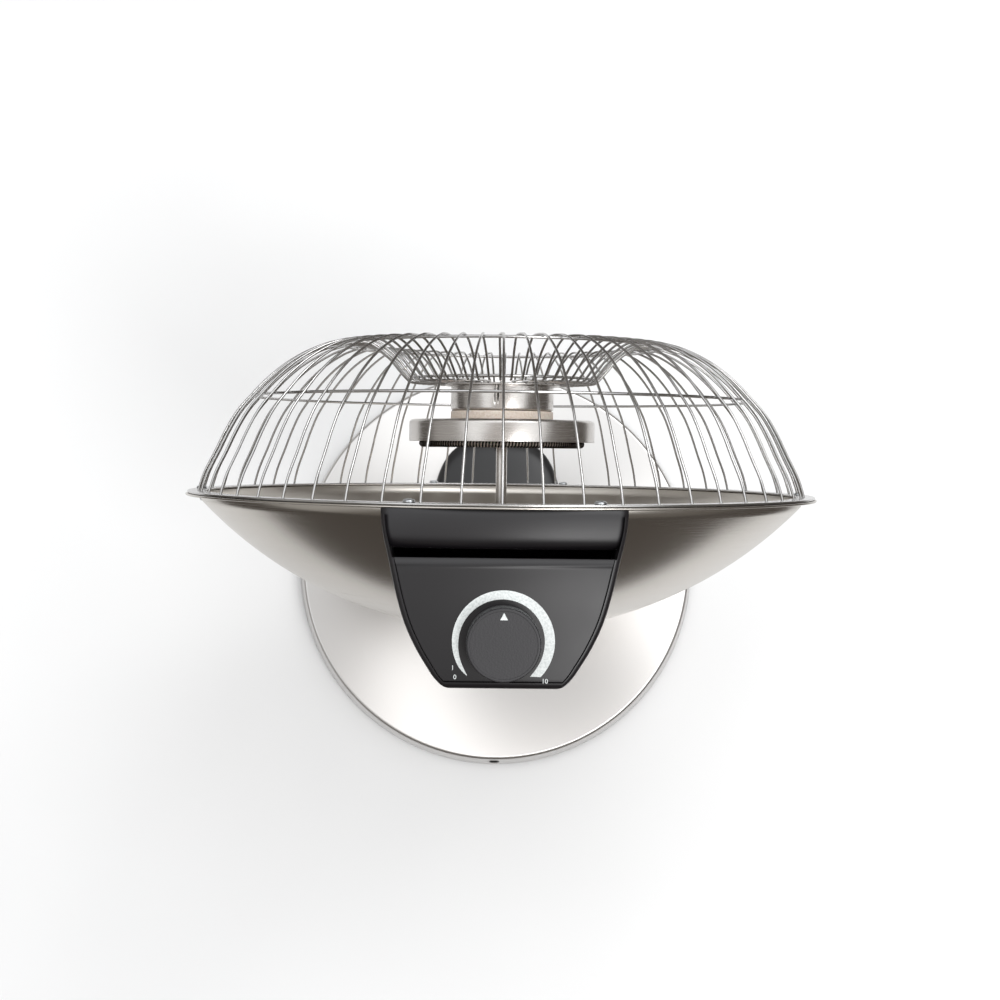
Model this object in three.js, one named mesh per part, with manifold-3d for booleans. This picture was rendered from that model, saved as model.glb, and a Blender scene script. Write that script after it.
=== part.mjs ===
// Floor-standing parabolic heater: a round weighted base, a curved stand, and a spun bowl with a
// domed wire guard, a ring of heating coil at its focus and a control box with one knob on its back.
// Millimetres, +Z up. Origin on the floor under the centre of the base, the dish faces -Y.
import * as THREE from "three";
import { mergeVertices } from "three/addons/utils/BufferGeometryUtils.js";
import Module from "manifold-3d";

const wasm = await Module();
wasm.setup();

// ---------- driving dimensions ----------
const clearance = 0.3;            // gap between pieces that touch
const boreClearance = 0.4;        // radial gap of bolts and shafts in their holes

// dish
const dishHeight = 336;           // floor to the centre of the rim
const dishForward = 17;           // centre of the rim, in front of the base centre
const dishTilt = 10;              // degrees that the dish looks up
const rimRadius = 200;
const flangeWidth = 9.5;          // from the bowl's mouth out to the rim
const flangeThickness = 1.5;
const bowlRadius = 260;           // radius of the arc that the bowl is spun to
const bowlNeck = 4.5;             // straight collar between the flange and that arc
const bowlWall = 1.2;
const hemDepth = 3.4;             // rolled edge of the flange
const hemThickness = 1.4;

// guard: its rings and folds are set in from the rim
const wireCount = 56;
const wireDiameter = 2;
const ringDiameter = 2.6;
const guardBandInset = 1;
const guardBandWidth = 11.5;
const guardBandThickness = 2;
const wireRootInset = 10.5;       // where the wires leave the band
const skirtInset = 17.4;
const skirtHeight = 19.5;
const skirtBow = 3;               // how far the wires bulge between skirt and middle ring
const midRingInset = 41;
const midRingHeight = 61.2;
const shoulderInset = 60;
const shoulderHeight = 77.5;
const crestInset = 98;            // fold where the dome turns into its recess
const crestHeight = 98.3;
const crestRoll = 12;             // length of the roll before the fold
const crestRollDrop = 4.5;
const crestFold = 6;              // length of the turn after the fold
const crestFoldDrop = 1.4;
const recessRadius = 60;
const recessHeight = 76;
const plateRadius = 37.3;
const plateThickness = 1.5;
const wireEndRadius = 31;
const wireFacet = 0.45;           // half side of a square wire, as a share of the round one

// rim screws
const rimScrewInset = 6.6;         // from the rim to the screws
const rimScrewAngles = [15, 90, 165, 195, 270, 345];
const rimScrewShank = 1.9;
const rimScrewHead = 3.5;
const rimScrewHeadHeight = 2.2;
const rimScrewTip = 6;            // below the flange

// element
const postRadius = 3.55;
const coilRadius = 50.8;          // centre line of the coil's ring
const coilTurnRadius = 2.15;
const coilWire = 0.9;
const coilCurls = 34;
const coilGap = 14;               // degrees of ring left free between the coil's two ends
const coilHeight = 32.4;
const formerLedge = 2.2;          // ceramic below the coil's centre line
const formerRise = 3.4;           // and above it
const formerStep = 8;             // from the coil's seat in to the neck
const terminalRadius = 1.6;
const terminalLength = 2.4;
const capRadius = 59.8;
const capBottom = 33.6;
const capTop = 47.6;
const capWall = 1;
const capEdge = 3;                // bevel round the cap
const spacerRadius = 33;
const spacerHeight = 5.3;
const cupRadius = 33.1;
const cupWall = 0.8;
const elementNutHeight = 4;
const elementNutRadius = 7;
const postNutHeight = 4;
const postTail = 8;               // post behind the bracket
const postTip = 2;                // post in front of its nut

// tilt hinge, in the dish's own frame
const hingeBelowAxis = 17.6;
const hingeBehindBowl = 20.1;
const hingePinRadius = 4;
const knuckleRadius = 12;
const knuckleHalfWidth = 15;
const frictionWasher = 1.6;
const earThickness = 2.5;
const earRadius = 13;
const bracketPlate = 2.5;
const bracketHalfHeight = 34;
const pinHeadRadius = 7.5;
const pinHeadThickness = 4;
const pinTail = 2;                // pin past its nut

// control box, in the dish's own frame: x right, y up the rim, z out of the dish
const panelDrop = 5;              // top of the fascia below the top of the rim
const boxFrontHalfWidth = 64.5;
const boxMidHalfWidth = 56;
const boxMid = 47;                // how far behind the rim the sides start to draw in
const boxRearHalfWidth = 30;
const boxSideBow = 5;             // pull of the side's curve as it draws in
const boxCornerBow = 8;           // and as it meets the rear
const boxCornerRun = 4;
const boxRearRoom = 6.95;         // behind the back of the bowl
const boxFront = 4.2;             // behind the flange plane, clear of its hem
const boxWall = 2.5;
const boxLean = 0.145;            // backward shift of the spine for each mm below the panel
const boxBottom = -35;
const boxBottomHalfWidth = 31;
const boxWaist = 60;
const boxWaistHalfWidth = 42;
const boxShoulderDrop = 74;       // below the panel, where the flanks reach the middle's width
const boxShoulderRoom = 2;
const boxCheekDrop = 31;          // below the panel, where the flanks reach the front's width
const boxCheekRoom = 3;
const hoodRise = 3;               // crown of the band between rim and fascia
const hoodLength = 17.5;
const grooveWidth = 5.5;
const grooveDepth = 2.2;
const fasciaThickness = 2;
const fasciaInset = 1.3;
const wellLedge = 4;              // rim that the fascia lies on
const wellDepth = 12;
const dialFromRear = 24.5;        // dial centre to the rear edge of the panel
const knobRadius = 19;
const knobHeight = 15;
const knobGap = 0.6;
const knobFlange = 0.6;           // foot of the knob stands out this far
const knobFlangeHeight = 1.6;
const knobDraft = 0.5;
const knobBevel = 1.8;
const knobTopWall = 3;
const shaftRadius = 3;
const controllerWidth = 32;
const controllerDepth = 26;
const controllerHeight = 20;
const bushRadius = 5;
const cutoutRadius = 10;
const cutoutHeight = 7;
const terminalWidth = 32;
const terminalHeight = 14;
const terminalDepth = 11;

// base
const baseRadius = 169;
const baseDraft = 7;              // radius lost up to the flat top
const baseHeight = 26;
const coverBend = 3;              // height of the rounded edge
const coverBendRun = 3.4;
const skirtBottom = 5;
const coverWall = 1;
const bottomPlateThickness = 1.5;
const bottomPlateHeight = 6.5;
const weightRadius = 104;
const weightThickness = 9;
const footInset = 23;             // foot centres in from the edge of the base
const footRadius = 10;
const footAngles = [45, 135, 225, 315];
const cordHoleRadius = 4.3;
const cordHoleHeight = 14.5;
const cordBoreRadius = 2.6;
const cordBushLip = 1.4;
const cordBushLength = 7;

// stand: its back and its arm keep their place under the hinge
const standToe = 108;             // front of the foot, in front of the base centre
const standFootHalfWidth = 57;
const heelRun = 14;               // back of the foot, behind the hinge
const heelRise = 6;               // how far the heel draws in at the height of the instep
const toeEdge = 6;                // height of the toe's upright edge
const toeBow = 12;                // crown of the tongue between that edge and the instep
const instepLevel = 17;           // height over the middle of the tongue
const instepFront = 54;
const rampLevel = 25.5;           // where the tongue turns up into the ankle
const rampFront = 10;
const ankleLevel = 48;
const ankleRun = 66;              // front of the ankle, in front of the hinge
const ankleHalfWidth = 42;
const calfLevel = 96;
const calfFrontRun = 49;
const calfBackRun = 2;
const calfHalfWidth = 33;
const shinBow = 1;                // how far the leg bows forward between calf and neck
const neckHalfWidth = 25;
const neckFrontRun = 16;
const neckBackRun = 14;           // behind the hinge
const neckDrop = 30;              // top of the mouldings below the hinge
const standSquareness = 3.2;      // exponent of the sections: 2 is an ellipse, more is squarer
const standWall = 3;
const armHalfThickness = 6;
const armFootHalfWidth = 28;
const armFootRun = 12;            // back of the arm's foot, in front of the hinge
const armFootLength = 52;
const armFootThickness = 5;
const standBoltRadius = 3;
const standBoltHead = 5;
const standBoltHeadHeight = 4;
const standBoltInset = 7;         // from the side of the arm's foot
const standBoltEndInset = 8;      // from its front and back

// tip-over switch
const tipInset = 37;              // plunger in from the front edge of the base
const tipPinRadius = 4;
const tipBodyWidth = 28;
const tipBodyDepth = 16;
const tipBodyHeight = 12;
const tipTravel = 4;              // room over the plunger inside the switch

// ---------- sizes that follow from these ----------
const lipRadius = rimRadius - flangeWidth;
const bowlDepth = bowlNeck + bowlRadius - Math.sqrt(bowlRadius ** 2 - lipRadius ** 2);
const guardBandOuter = rimRadius - guardBandInset;
const guardBandInner = guardBandOuter - guardBandWidth;
const skirtRadius = rimRadius - skirtInset;
const midRingRadius = rimRadius - midRingInset;
const shoulderRadius = rimRadius - shoulderInset;
const crestRadius = rimRadius - crestInset;
const rimScrewRadius = rimRadius - rimScrewInset;
const panelHeight = rimRadius - panelDrop;
const boxRear = bowlDepth + boxRearRoom;
const dialBack = boxRear - dialFromRear;
const baseTopRadius = baseRadius - baseDraft;
const footCircle = baseRadius - footInset;
const tipBack = tipInset - baseRadius;
const past = 60;                  // how far cutting tools run past what they cut

// ---------- materials ----------
const paint = (color, metalness, roughness) =>
  new THREE.MeshStandardMaterial({ color, metalness, roughness });
const materials = {
  brushedSteel: paint(0xb9bbbd, 1, 0.35),
  spunSteel: paint(0xa8a5a0, 1, 0.22),
  plated: paint(0xd4d6d8, 1, 0.18),
  blackPlastic: paint(0x222022, 0, 0.5),
  knobPlastic: paint(0x3c3a3e, 0, 0.6),
  ceramic: paint(0xe1d2be, 0, 0.6),
  coilAlloy: paint(0x6d6258, 0.9, 0.5),
  darkSteel: paint(0x55585b, 0.9, 0.5),
  castIron: paint(0x3a3b3d, 0.6, 0.7),
  rubber: paint(0x18181a, 0, 0.9),
  brass: paint(0xc29a4a, 1, 0.35),
};

// ---------- geometry helpers ----------
const degrees = Math.PI / 180;

// Indexed, closed copy of a geometry with its faces pointing out.
function closed(source) {
  const bare = source.clone();
  for (const name of Object.keys(bare.attributes)) {
    if (name !== "position") bare.deleteAttribute(name);
  }
  const merged = mergeVertices(bare, 1e-4);
  const index = merged.index.array;
  const kept = [];
  for (let i = 0; i < index.length; i += 3) {
    const [a, b, c] = [index[i], index[i + 1], index[i + 2]];
    if (a !== b && b !== c && c !== a) kept.push(a, b, c);
  }
  const at = merged.attributes.position;
  const [p, q, r] = [new THREE.Vector3(), new THREE.Vector3(), new THREE.Vector3()];
  let volume = 0;
  for (let i = 0; i < kept.length; i += 3) {
    p.fromBufferAttribute(at, kept[i]);
    q.fromBufferAttribute(at, kept[i + 1]);
    r.fromBufferAttribute(at, kept[i + 2]);
    volume += p.dot(q.cross(r));
  }
  if (volume < 0) {
    for (let i = 0; i < kept.length; i += 3) [kept[i], kept[i + 1]] = [kept[i + 1], kept[i]];
  }
  merged.setIndex(kept);
  return merged;
}

function toSolid(geometry) {
  const mesh = closed(geometry);
  return new wasm.Manifold(new wasm.Mesh({
    numProp: 3,
    vertProperties: new Float32Array(mesh.attributes.position.array),
    triVerts: new Uint32Array(mesh.index.array),
  }));
}

function toGeometry(solid) {
  const mesh = solid.getMesh();
  const geometry = new THREE.BufferGeometry();
  geometry.setAttribute("position", new THREE.BufferAttribute(mesh.vertProperties.slice(), 3));
  geometry.setIndex([...mesh.triVerts]);
  geometry.computeVertexNormals();
  return geometry;
}

const cut = (body, ...tools) => {
  let solid = toSolid(body);
  for (const tool of tools) solid = solid.subtract(toSolid(tool));
  return toGeometry(solid);
};

const join = (...bodies) => toGeometry(wasm.Manifold.union(bodies.map(toSolid)));

const common = (...bodies) => {
  let solid = toSolid(bodies[0]);
  for (const body of bodies.slice(1)) solid = solid.intersect(toSolid(body));
  return toGeometry(solid);
};

// Solid of revolution about +Z from [radius, z] pairs. A profile that starts off the axis closes on itself.
function turned(profile, segments = 32) {
  const points = profile.map(([r, z]) => new THREE.Vector2(r, z));
  if (profile[0][0] > 0) points.push(points[0].clone());
  return new THREE.LatheGeometry(points, segments).rotateX(Math.PI / 2);
}

const rod = (radius, from, to, segments = 16) =>
  turned([[0, from], [radius, from], [radius, to], [0, to]], segments);

const tube = (inner, outer, from, to, segments = 24) =>
  turned([[inner, from], [outer, from], [outer, to], [inner, to]], segments);

// Hexagonal nut, flats and all, around a round hole.
const nut = (bore, radius, from, to) => cut(rod(radius, from, to, 6), rod(bore, from - 1, to + 1, 12));

function block(x0, x1, y0, y1, z0, z1) {
  const box = new THREE.BoxGeometry(x1 - x0, y1 - y0, z1 - z0);
  return box.translate((x0 + x1) / 2, (y0 + y1) / 2, (z0 + z1) / 2);
}

// Outline through [u, v] corners, extruded along w from one level to another.
function prism(outline, from, to) {
  const shape = new THREE.Shape(outline.map(([u, v]) => new THREE.Vector2(u, v)));
  return new THREE.ExtrudeGeometry(shape, { depth: to - from, bevelEnabled: false }).translate(0, 0, from);
}

// The same, standing on the x axis: the outline is in y and z.
const sideways = new THREE.Matrix4().set(0, 0, 1, 0, 1, 0, 0, 0, 0, 1, 0, 0, 0, 0, 0, 1);
const sidePrism = (outline, from, to) => prism(outline, from, to).applyMatrix4(sideways);

// A smooth open curve through [u, v] points, as a list of [u, v].
function smooth(points, steps) {
  const curve = new THREE.SplineCurve(points.map(([u, v]) => new THREE.Vector2(u, v)));
  return curve.getPoints(steps).map((p) => [p.x, p.y]);
}

// ---------- assembly ----------
const heater = new THREE.Group();
const stand = new THREE.Group();
const head = new THREE.Group();
head.position.set(0, -dishForward, dishHeight);
head.rotation.x = Math.PI / 2 - dishTilt * degrees;
heater.add(stand, head);

function piece(parent, name, geometry, material) {
  const mesh = new THREE.Mesh(toGeometry(toSolid(geometry)), material);
  mesh.name = name;
  parent.add(mesh);
  return mesh;
}

// A point of the head's own y-z plane in the world, as [y, z].
function outOfHead(y, z) {
  const point = new THREE.Vector3(0, y, z).applyAxisAngle(new THREE.Vector3(1, 0, 0), head.rotation.x);
  return [point.y - dishForward, point.z + dishHeight];
}

// ---------- dish ----------
const bowlBack = -bowlDepth;
const bowlCentre = bowlBack + bowlRadius;
const bowlZ = (r, radius = bowlRadius) => bowlCentre - Math.sqrt(radius ** 2 - r ** 2);
const flangeFront = -clearance / 2;
const flangeBack = flangeFront - flangeThickness;
const postHole = postRadius + boreClearance;

function bowlArc(radius, from, to, steps) {
  const a = Math.asin(from / radius);
  const b = Math.asin(to / radius);
  return Array.from({ length: steps + 1 }, (_, i) => {
    const angle = a + (b - a) * i / steps;
    return [radius * Math.sin(angle), bowlCentre - radius * Math.cos(angle)];
  });
}

function reflectorDish() {
  const profile = [
    ...bowlArc(bowlRadius - bowlWall, postHole, lipRadius - bowlWall, 6),
    [lipRadius - bowlWall, flangeFront],
    [rimRadius, flangeFront],
    [rimRadius, flangeFront - hemDepth],
    [rimRadius - hemThickness, flangeFront - hemDepth],
    [rimRadius - hemThickness, flangeBack],
    [lipRadius, flangeBack],
    ...bowlArc(bowlRadius, lipRadius, postHole, 6),
  ];
  return cut(turned(profile, 56), ...rimScrewHoles());
}

// ---------- rim screws: heads in front of the guard band, tips behind the flange ----------
function rimScrewAt(geometry, angle) {
  const a = angle * degrees;
  return geometry.translate(rimScrewRadius * Math.sin(a), rimScrewRadius * Math.cos(a), 0);
}

const rimScrewHoles = () =>
  rimScrewAngles.map((angle) => rimScrewAt(rod(rimScrewShank + boreClearance, -past, past, 6), angle));

function rimScrew(angle) {
  const seat = clearance / 2 + guardBandThickness + clearance;
  const profile = [
    [0, flangeBack - rimScrewTip],
    [rimScrewShank, flangeBack - rimScrewTip + rimScrewShank],
    [rimScrewShank, seat],
    [rimScrewHead, seat],
    [rimScrewHead * 0.7, seat + rimScrewHeadHeight],
    [0, seat + rimScrewHeadHeight],
  ];
  return rimScrewAt(turned(profile, 6), angle);
}

// ---------- wire guard ----------
const bandBack = clearance / 2;
const bandFront = bandBack + guardBandThickness;

// Centre line of a wire in its own radial plane, from the rim band to its inner end.
function wireLine(innerRadius) {
  const inner = innerRadius < recessRadius ? [[innerRadius, recessHeight]] : [];
  return [
    [rimRadius - wireRootInset, bandBack + guardBandThickness / 2],
    [skirtRadius, skirtHeight],
    [(skirtRadius + midRingRadius) / 2 + skirtBow, (skirtHeight + midRingHeight) / 2 + skirtBow * 0.6],
    [midRingRadius, midRingHeight],
    [shoulderRadius, shoulderHeight],
    [crestRadius + crestRoll, crestHeight - crestRollDrop],
    [crestRadius, crestHeight],
    [crestRadius - crestFold, crestHeight - crestFoldDrop],
    [recessRadius, recessHeight],
    ...inner,
  ];
}

// Four-sided wire along a line in the radial plane, turned to its angle about the dish axis.
function wire(line, angle) {
  const half = wireDiameter * wireFacet;
  const rings = line.map(([r, z], i) => {
    const before = line[Math.max(i - 1, 0)];
    const after = line[Math.min(i + 1, line.length - 1)];
    const normals = [[before, line[i]], [line[i], after]]
      .map(([a, b]) => new THREE.Vector2(-(b[1] - a[1]), b[0] - a[0]))
      .filter((n) => n.length() > 0)
      .map((n) => n.normalize());
    const mean = normals.reduce((sum, n) => sum.clone().add(n), new THREE.Vector2()).normalize();
    mean.multiplyScalar(half / mean.dot(normals[0]));
    return [[1, 1], [1, -1], [-1, -1], [-1, 1]].map(([n, b]) => [r + n * mean.x, b * half, z + n * mean.y]);
  });
  return sweepRings(rings).rotateZ(angle);
}

// Closed skin over rings that have the same number of points, with flat ends.
function sweepRings(rings) {
  const sides = rings[0].length;
  const index = [];
  for (let i = 0; i < rings.length - 1; i += 1) {
    for (let j = 0; j < sides; j += 1) {
      const [a, b] = [i * sides + j, i * sides + (j + 1) % sides];
      index.push(a, b, b + sides, a, b + sides, a + sides);
    }
  }
  const last = (rings.length - 1) * sides;
  for (let j = 1; j < sides - 1; j += 1) index.push(0, j + 1, j, last, last + j, last + j + 1);
  const geometry = new THREE.BufferGeometry();
  geometry.setAttribute("position", new THREE.Float32BufferAttribute(rings.flat(2), 3));
  geometry.setIndex(index);
  return geometry;
}

function guardCage() {
  const step = 2 * Math.PI / wireCount;
  const wires = Array.from({ length: wireCount }, (_, i) =>
    wire(wireLine(i % 2 ? recessRadius : wireEndRadius), Math.PI / 2 + i * step));
  const band = tube(guardBandInner, guardBandOuter, bandBack, bandFront, wireCount);
  return cut(join(band, ...wires), ...rimScrewHoles());
}

// Wire ring that the guard's wires lie on, with a flat between each two corners under a wire.
function guardRing(radius, height, slope, segments) {
  const seat = wireDiameter * wireFacet + ringDiameter / 2 + clearance;
  const half = ringDiameter * wireFacet;
  const r = radius - seat * Math.sin(slope);
  const z = height - seat * Math.cos(slope);
  const corners = [[1, 1], [1, -1], [-1, -1], [-1, 1]].map(([u, v]) => [
    r + half * (u * Math.cos(slope) + v * Math.sin(slope)),
    z + half * (v * Math.cos(slope) - u * Math.sin(slope)),
  ]);
  return turned(corners, segments).rotateZ(Math.PI / wireCount);
}

// ---------- element at the focus ----------
const plateTop = recessHeight - wireDiameter * wireFacet - clearance;
const plateBottom = plateTop - plateThickness;
const spacerBottom = capTop + clearance;
const spacerTop = spacerBottom + spacerHeight;
const cupBottom = spacerTop + clearance;
const cupTop = plateBottom - clearance;
const elementNutBottom = cupBottom + cupWall + clearance;
const postTop = elementNutBottom + elementNutHeight + postTip;
const formerRadius = coilRadius - coilTurnRadius - coilWire / 2 - clearance;
const formerBottom = coilHeight - formerLedge;
const capUnderside = capTop - capWall;

function coilFormer() {
  const neck = formerRadius - formerStep;
  return turned([
    [postHole, formerBottom],
    [formerRadius, formerBottom],
    [formerRadius, coilHeight + formerRise],
    [neck, coilHeight + formerRise + formerLedge],
    [neck, capUnderside - clearance],
    [postHole, capUnderside - clearance],
  ], 28);
}

// The coil's centre line: curls around a ring, with a straight lead at each end.
function heatingCoil() {
  const sweep = (360 - coilGap) * degrees;
  const start = -Math.PI / 2 + coilGap / 2 * degrees;
  const steps = coilCurls * 8;
  const ring = (angle, turn) => {
    const r = coilRadius + coilTurnRadius * Math.cos(turn);
    const z = coilHeight + coilTurnRadius * Math.sin(turn);
    return new THREE.Vector3(r * Math.cos(angle), r * Math.sin(angle), z);
  };
  const centres = Array.from({ length: steps + 1 }, (_, i) =>
    ring(start + sweep * i / steps, 2 * Math.PI * coilCurls * i / steps));
  const leadIn = centres[0].clone().sub(centres[1]).setLength(coilWire);
  const leadOut = centres[steps].clone().sub(centres[steps - 1]).setLength(coilWire);
  const line = [centres[0].clone().add(leadIn), ...centres, centres[steps].clone().add(leadOut)];
  reportCoilGap(line);
  return sweepRings(tubeRings(line, coilWire / 2, 5));
}

// Rings of points square to a line of centres, carried along without twist.
function tubeRings(line, radius, sides) {
  const across = new THREE.Vector3(0, 0, 1);
  return line.map((centre, i) => {
    const along = line[Math.min(i + 1, line.length - 1)].clone().sub(line[Math.max(i - 1, 0)]).normalize();
    across.addScaledVector(along, -across.dot(along)).normalize();
    const third = along.clone().cross(across);
    return Array.from({ length: sides }, (_, j) => {
      const a = 2 * Math.PI * j / sides;
      const point = centre.clone();
      point.addScaledVector(across, radius * Math.cos(a)).addScaledVector(third, radius * Math.sin(a));
      return point.toArray();
    });
  });
}

// Least gap between points of the coil that are half a curl or more apart.
function reportCoilGap(line) {
  let least = Infinity;
  for (let i = 0; i < line.length; i += 1) {
    for (let j = i + 5; j < line.length; j += 1) least = Math.min(least, line[i].distanceTo(line[j]));
  }
  console.log(`least gap of the coil to itself: ${(least - coilWire).toFixed(2)} mm`);
}

function coilTerminal(side) {
  const angle = -Math.PI / 2 + side * coilGap * 0.28 * degrees;
  const radius = formerRadius - 2 * terminalRadius;
  return rod(terminalRadius, formerBottom - clearance - terminalLength, formerBottom - clearance, 8)
    .translate(radius * Math.cos(angle), radius * Math.sin(angle), 0);
}

function elementCap() {
  const inner = capRadius - capWall;
  return turned([
    [postHole, capUnderside],
    [inner - capEdge, capUnderside],
    [inner, capUnderside - capEdge],
    [inner, capBottom],
    [capRadius, capBottom],
    [capRadius, capTop - capEdge],
    [capRadius - capEdge, capTop],
    [postHole, capTop],
  ], 32);
}

function elementCup() {
  return turned([
    [postHole, cupBottom],
    [cupRadius, cupBottom],
    [cupRadius, cupTop],
    [cupRadius - cupWall, cupTop],
    [cupRadius - cupWall, cupBottom + cupWall],
    [postHole, cupBottom + cupWall],
  ], 32);
}

const elementNut = (bottom, height) => nut(postHole, elementNutRadius, bottom, bottom + height);

// ---------- tilt hinge ----------
const hingeY = -hingeBelowAxis;
const hingeZ = bowlBack - hingeBehindBowl;
const [hingeBack, hingeHeight] = outOfHead(hingeY, hingeZ);
const earInner = knuckleHalfWidth + 2 * clearance + frictionWasher;
const earOuter = earInner + earThickness;
const plateFront = bowlBack - clearance;
const plateBack = plateFront - bracketPlate;

const alongX = (geometry, y, z) => geometry.rotateY(Math.PI / 2).translate(0, y, z);

function tiltBracket() {
  const ear = (from, to) => {
    const foot = sidePrism([
      [hingeY + earRadius, plateBack + 1],
      [hingeY - earRadius, plateBack + 1],
      [hingeY - earRadius, hingeZ],
      [hingeY + earRadius, hingeZ],
    ], from, to);
    return join(foot, alongX(rod(earRadius, from, to, 16), hingeY, hingeZ));
  };
  const plate = block(-earOuter, earOuter, hingeY - earRadius, bracketHalfHeight, plateBack, plateFront);
  const bore = alongX(rod(hingePinRadius + boreClearance, -earOuter - 1, earOuter + 1, 12), hingeY, hingeZ);
  const postBore = rod(postHole, plateBack - 1, plateFront + 1, 12);
  return cut(join(plate, ear(earInner, earOuter), ear(-earOuter, -earInner)), bore, postBore);
}

function hingePin() {
  const headFrom = earOuter + clearance;
  return alongX(turned([
    [0, -headFrom - pinHeadThickness - pinTail],
    [hingePinRadius, -headFrom - pinHeadThickness - pinTail],
    [hingePinRadius, headFrom],
    [pinHeadRadius, headFrom],
    [pinHeadRadius, headFrom + pinHeadThickness],
    [0, headFrom + pinHeadThickness],
  ], 12), hingeY, hingeZ);
}

function hingeNut() {
  const face = -earOuter - clearance;
  const body = nut(hingePinRadius + boreClearance, pinHeadRadius, face - pinHeadThickness, face);
  return alongX(body, hingeY, hingeZ);
}

function frictionRing(side) {
  const middle = side * (knuckleHalfWidth + clearance + frictionWasher / 2);
  const ring = tube(hingePinRadius + boreClearance, knuckleRadius,
    middle - frictionWasher / 2, middle + frictionWasher / 2, 12);
  return alongX(ring, hingeY, hingeZ);
}

// ---------- control box ----------
// Outline of the box seen from above, drawn in by an inset, as corners in x and z.
function boxOutline(inset, front, rear) {
  const side = new THREE.CubicBezierCurve(
    new THREE.Vector2(boxMidHalfWidth - inset, -boxMid),
    new THREE.Vector2(boxMidHalfWidth - boxSideBow - inset, -(boxMid + rear) / 2),
    new THREE.Vector2(boxRearHalfWidth + boxCornerBow - inset, -rear + inset + boxCornerRun),
    new THREE.Vector2(boxRearHalfWidth - inset, -rear + inset),
  ).getPoints(7).map((p) => [p.x, p.y]);
  const right = [[boxFrontHalfWidth - inset, -front - inset], ...side];
  return [...right, ...right.map(([x, z]) => [-x, z]).reverse()];
}

// The box seen from the front, as corners in x and y.
function boxFace(inset, top) {
  const right = [
    [boxBottomHalfWidth - inset, boxBottom - (inset > 0 ? boxWall : 0)],
    [boxBottomHalfWidth + 1 - inset, 0],
    [boxWaistHalfWidth - inset, boxWaist],
    [boxMidHalfWidth + boxShoulderRoom - inset, panelHeight - boxShoulderDrop],
    [boxFrontHalfWidth + boxCheekRoom - inset, panelHeight - boxCheekDrop],
    [boxFrontHalfWidth + boxCheekRoom - inset, top],
  ];
  return [...right, ...right.map(([x, y]) => [-x, y]).reverse()];
}

function boxBody(inset, front, rear, top) {
  const outline = boxOutline(inset, front, rear);
  const depth = top - boxBottom + past;
  // the outline's x stays, its z becomes depth behind the rim and the extrusion runs down from the top
  const place = new THREE.Matrix4().set(
    1, 0, 0, 0,
    0, 0, -1, top,
    0, 1, -boxLean, -boxLean * (panelHeight - top),
    0, 0, 0, 1,
  );
  const column = prism(outline, 0, depth).applyMatrix4(place);
  return common(column, prism(boxFace(inset, top + past), -rear - past, past));
}

function controlHousing() {
  const hood = frontHood();
  const body = join(boxBody(0, boxFront, boxRear, panelHeight), hood);
  const mouth = lipRadius + clearance;
  const bowl = turned([
    [0, bowlBack - clearance],
    ...bowlArc(bowlRadius + clearance, boxRearHalfWidth / 2, mouth, 10),
    [mouth, past],
    [0, past],
  ], 56);
  const cavity = boxBody(boxWall, boxFront, boxRear, panelHeight - fasciaThickness - boxWall);
  const seatFloor = panelHeight - fasciaThickness - clearance;
  const seat = fasciaSolid(fasciaInset - clearance, seatFloor, panelHeight + past);
  const well = fasciaSolid(fasciaInset + wellLedge, panelHeight - wellDepth, panelHeight + past);
  const slotTop = hingeY + knuckleRadius + boxWall * 2;
  const slot = block(-earInner, earInner, boxBottom - past, slotTop, hingeZ - past, bowlBack);
  const side = boxFrontHalfWidth + past;
  const grooveFront = -boxFront - hoodLength;
  const groove = block(-side, side, panelHeight - grooveDepth, panelHeight + past,
    grooveFront - grooveWidth, grooveFront);
  const screwEnd = flangeBack - rimScrewTip - clearance;
  const screws = rimScrewAngles.filter((angle) => Math.cos(angle * degrees) > 0.9)
    .map((angle) => rimScrewAt(rod(rimScrewShank + boreClearance, screwEnd, past, 6), angle));
  return cut(body, bowl, cavity, seat, well, slot, groove, ...screws);
}

// Crowned band across the top of the box, just behind the rim.
function frontHood() {
  const profile = smooth([
    [-boxFront, panelHeight - 1], [-boxFront - hoodLength * 0.35, panelHeight + hoodRise],
    [-boxFront - hoodLength, panelHeight + hoodRise * 0.4],
  ], 6);
  const foot = panelHeight - grooveDepth - hoodRise;
  const outline = [...profile, [-boxFront - hoodLength, foot], [-boxFront, foot]];
  const band = sidePrism(outline.map(([z, y]) => [y, z]), -boxFrontHalfWidth, boxFrontHalfWidth);
  return common(band, boxPlan(0, foot, panelHeight + past));
}

// The box's outline as an upright column, from one height to another.
function boxPlan(inset, from, to) {
  const place = new THREE.Matrix4().set(1, 0, 0, 0, 0, 0, -1, to, 0, 1, 0, 0, 0, 0, 0, 1);
  return prism(boxOutline(inset, boxFront, boxRear), 0, to - from).applyMatrix4(place);
}

// Flat panel behind the groove, from one height to another.
function fasciaSolid(inset, from, to) {
  const front = -boxFront - hoodLength - grooveWidth - inset + fasciaInset;
  const side = boxFrontHalfWidth + past;
  return common(boxPlan(inset, from, to), block(-side, side, from - past, to + past, -boxRear - past, front));
}

const alongY = (geometry) => geometry.rotateX(-Math.PI / 2).translate(0, 0, -dialBack);

function controlFascia() {
  const plate = fasciaSolid(fasciaInset, panelHeight - fasciaThickness, panelHeight);
  return cut(plate, alongY(rod(bushRadius + boreClearance, panelHeight - past, panelHeight + past, 16)));
}

const controllerTop = panelHeight - fasciaThickness - clearance;
const shaftBottom = controllerTop - controllerHeight / 2;
const knobBottom = panelHeight + knobGap;
const knobTop = knobBottom + knobHeight;

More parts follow.
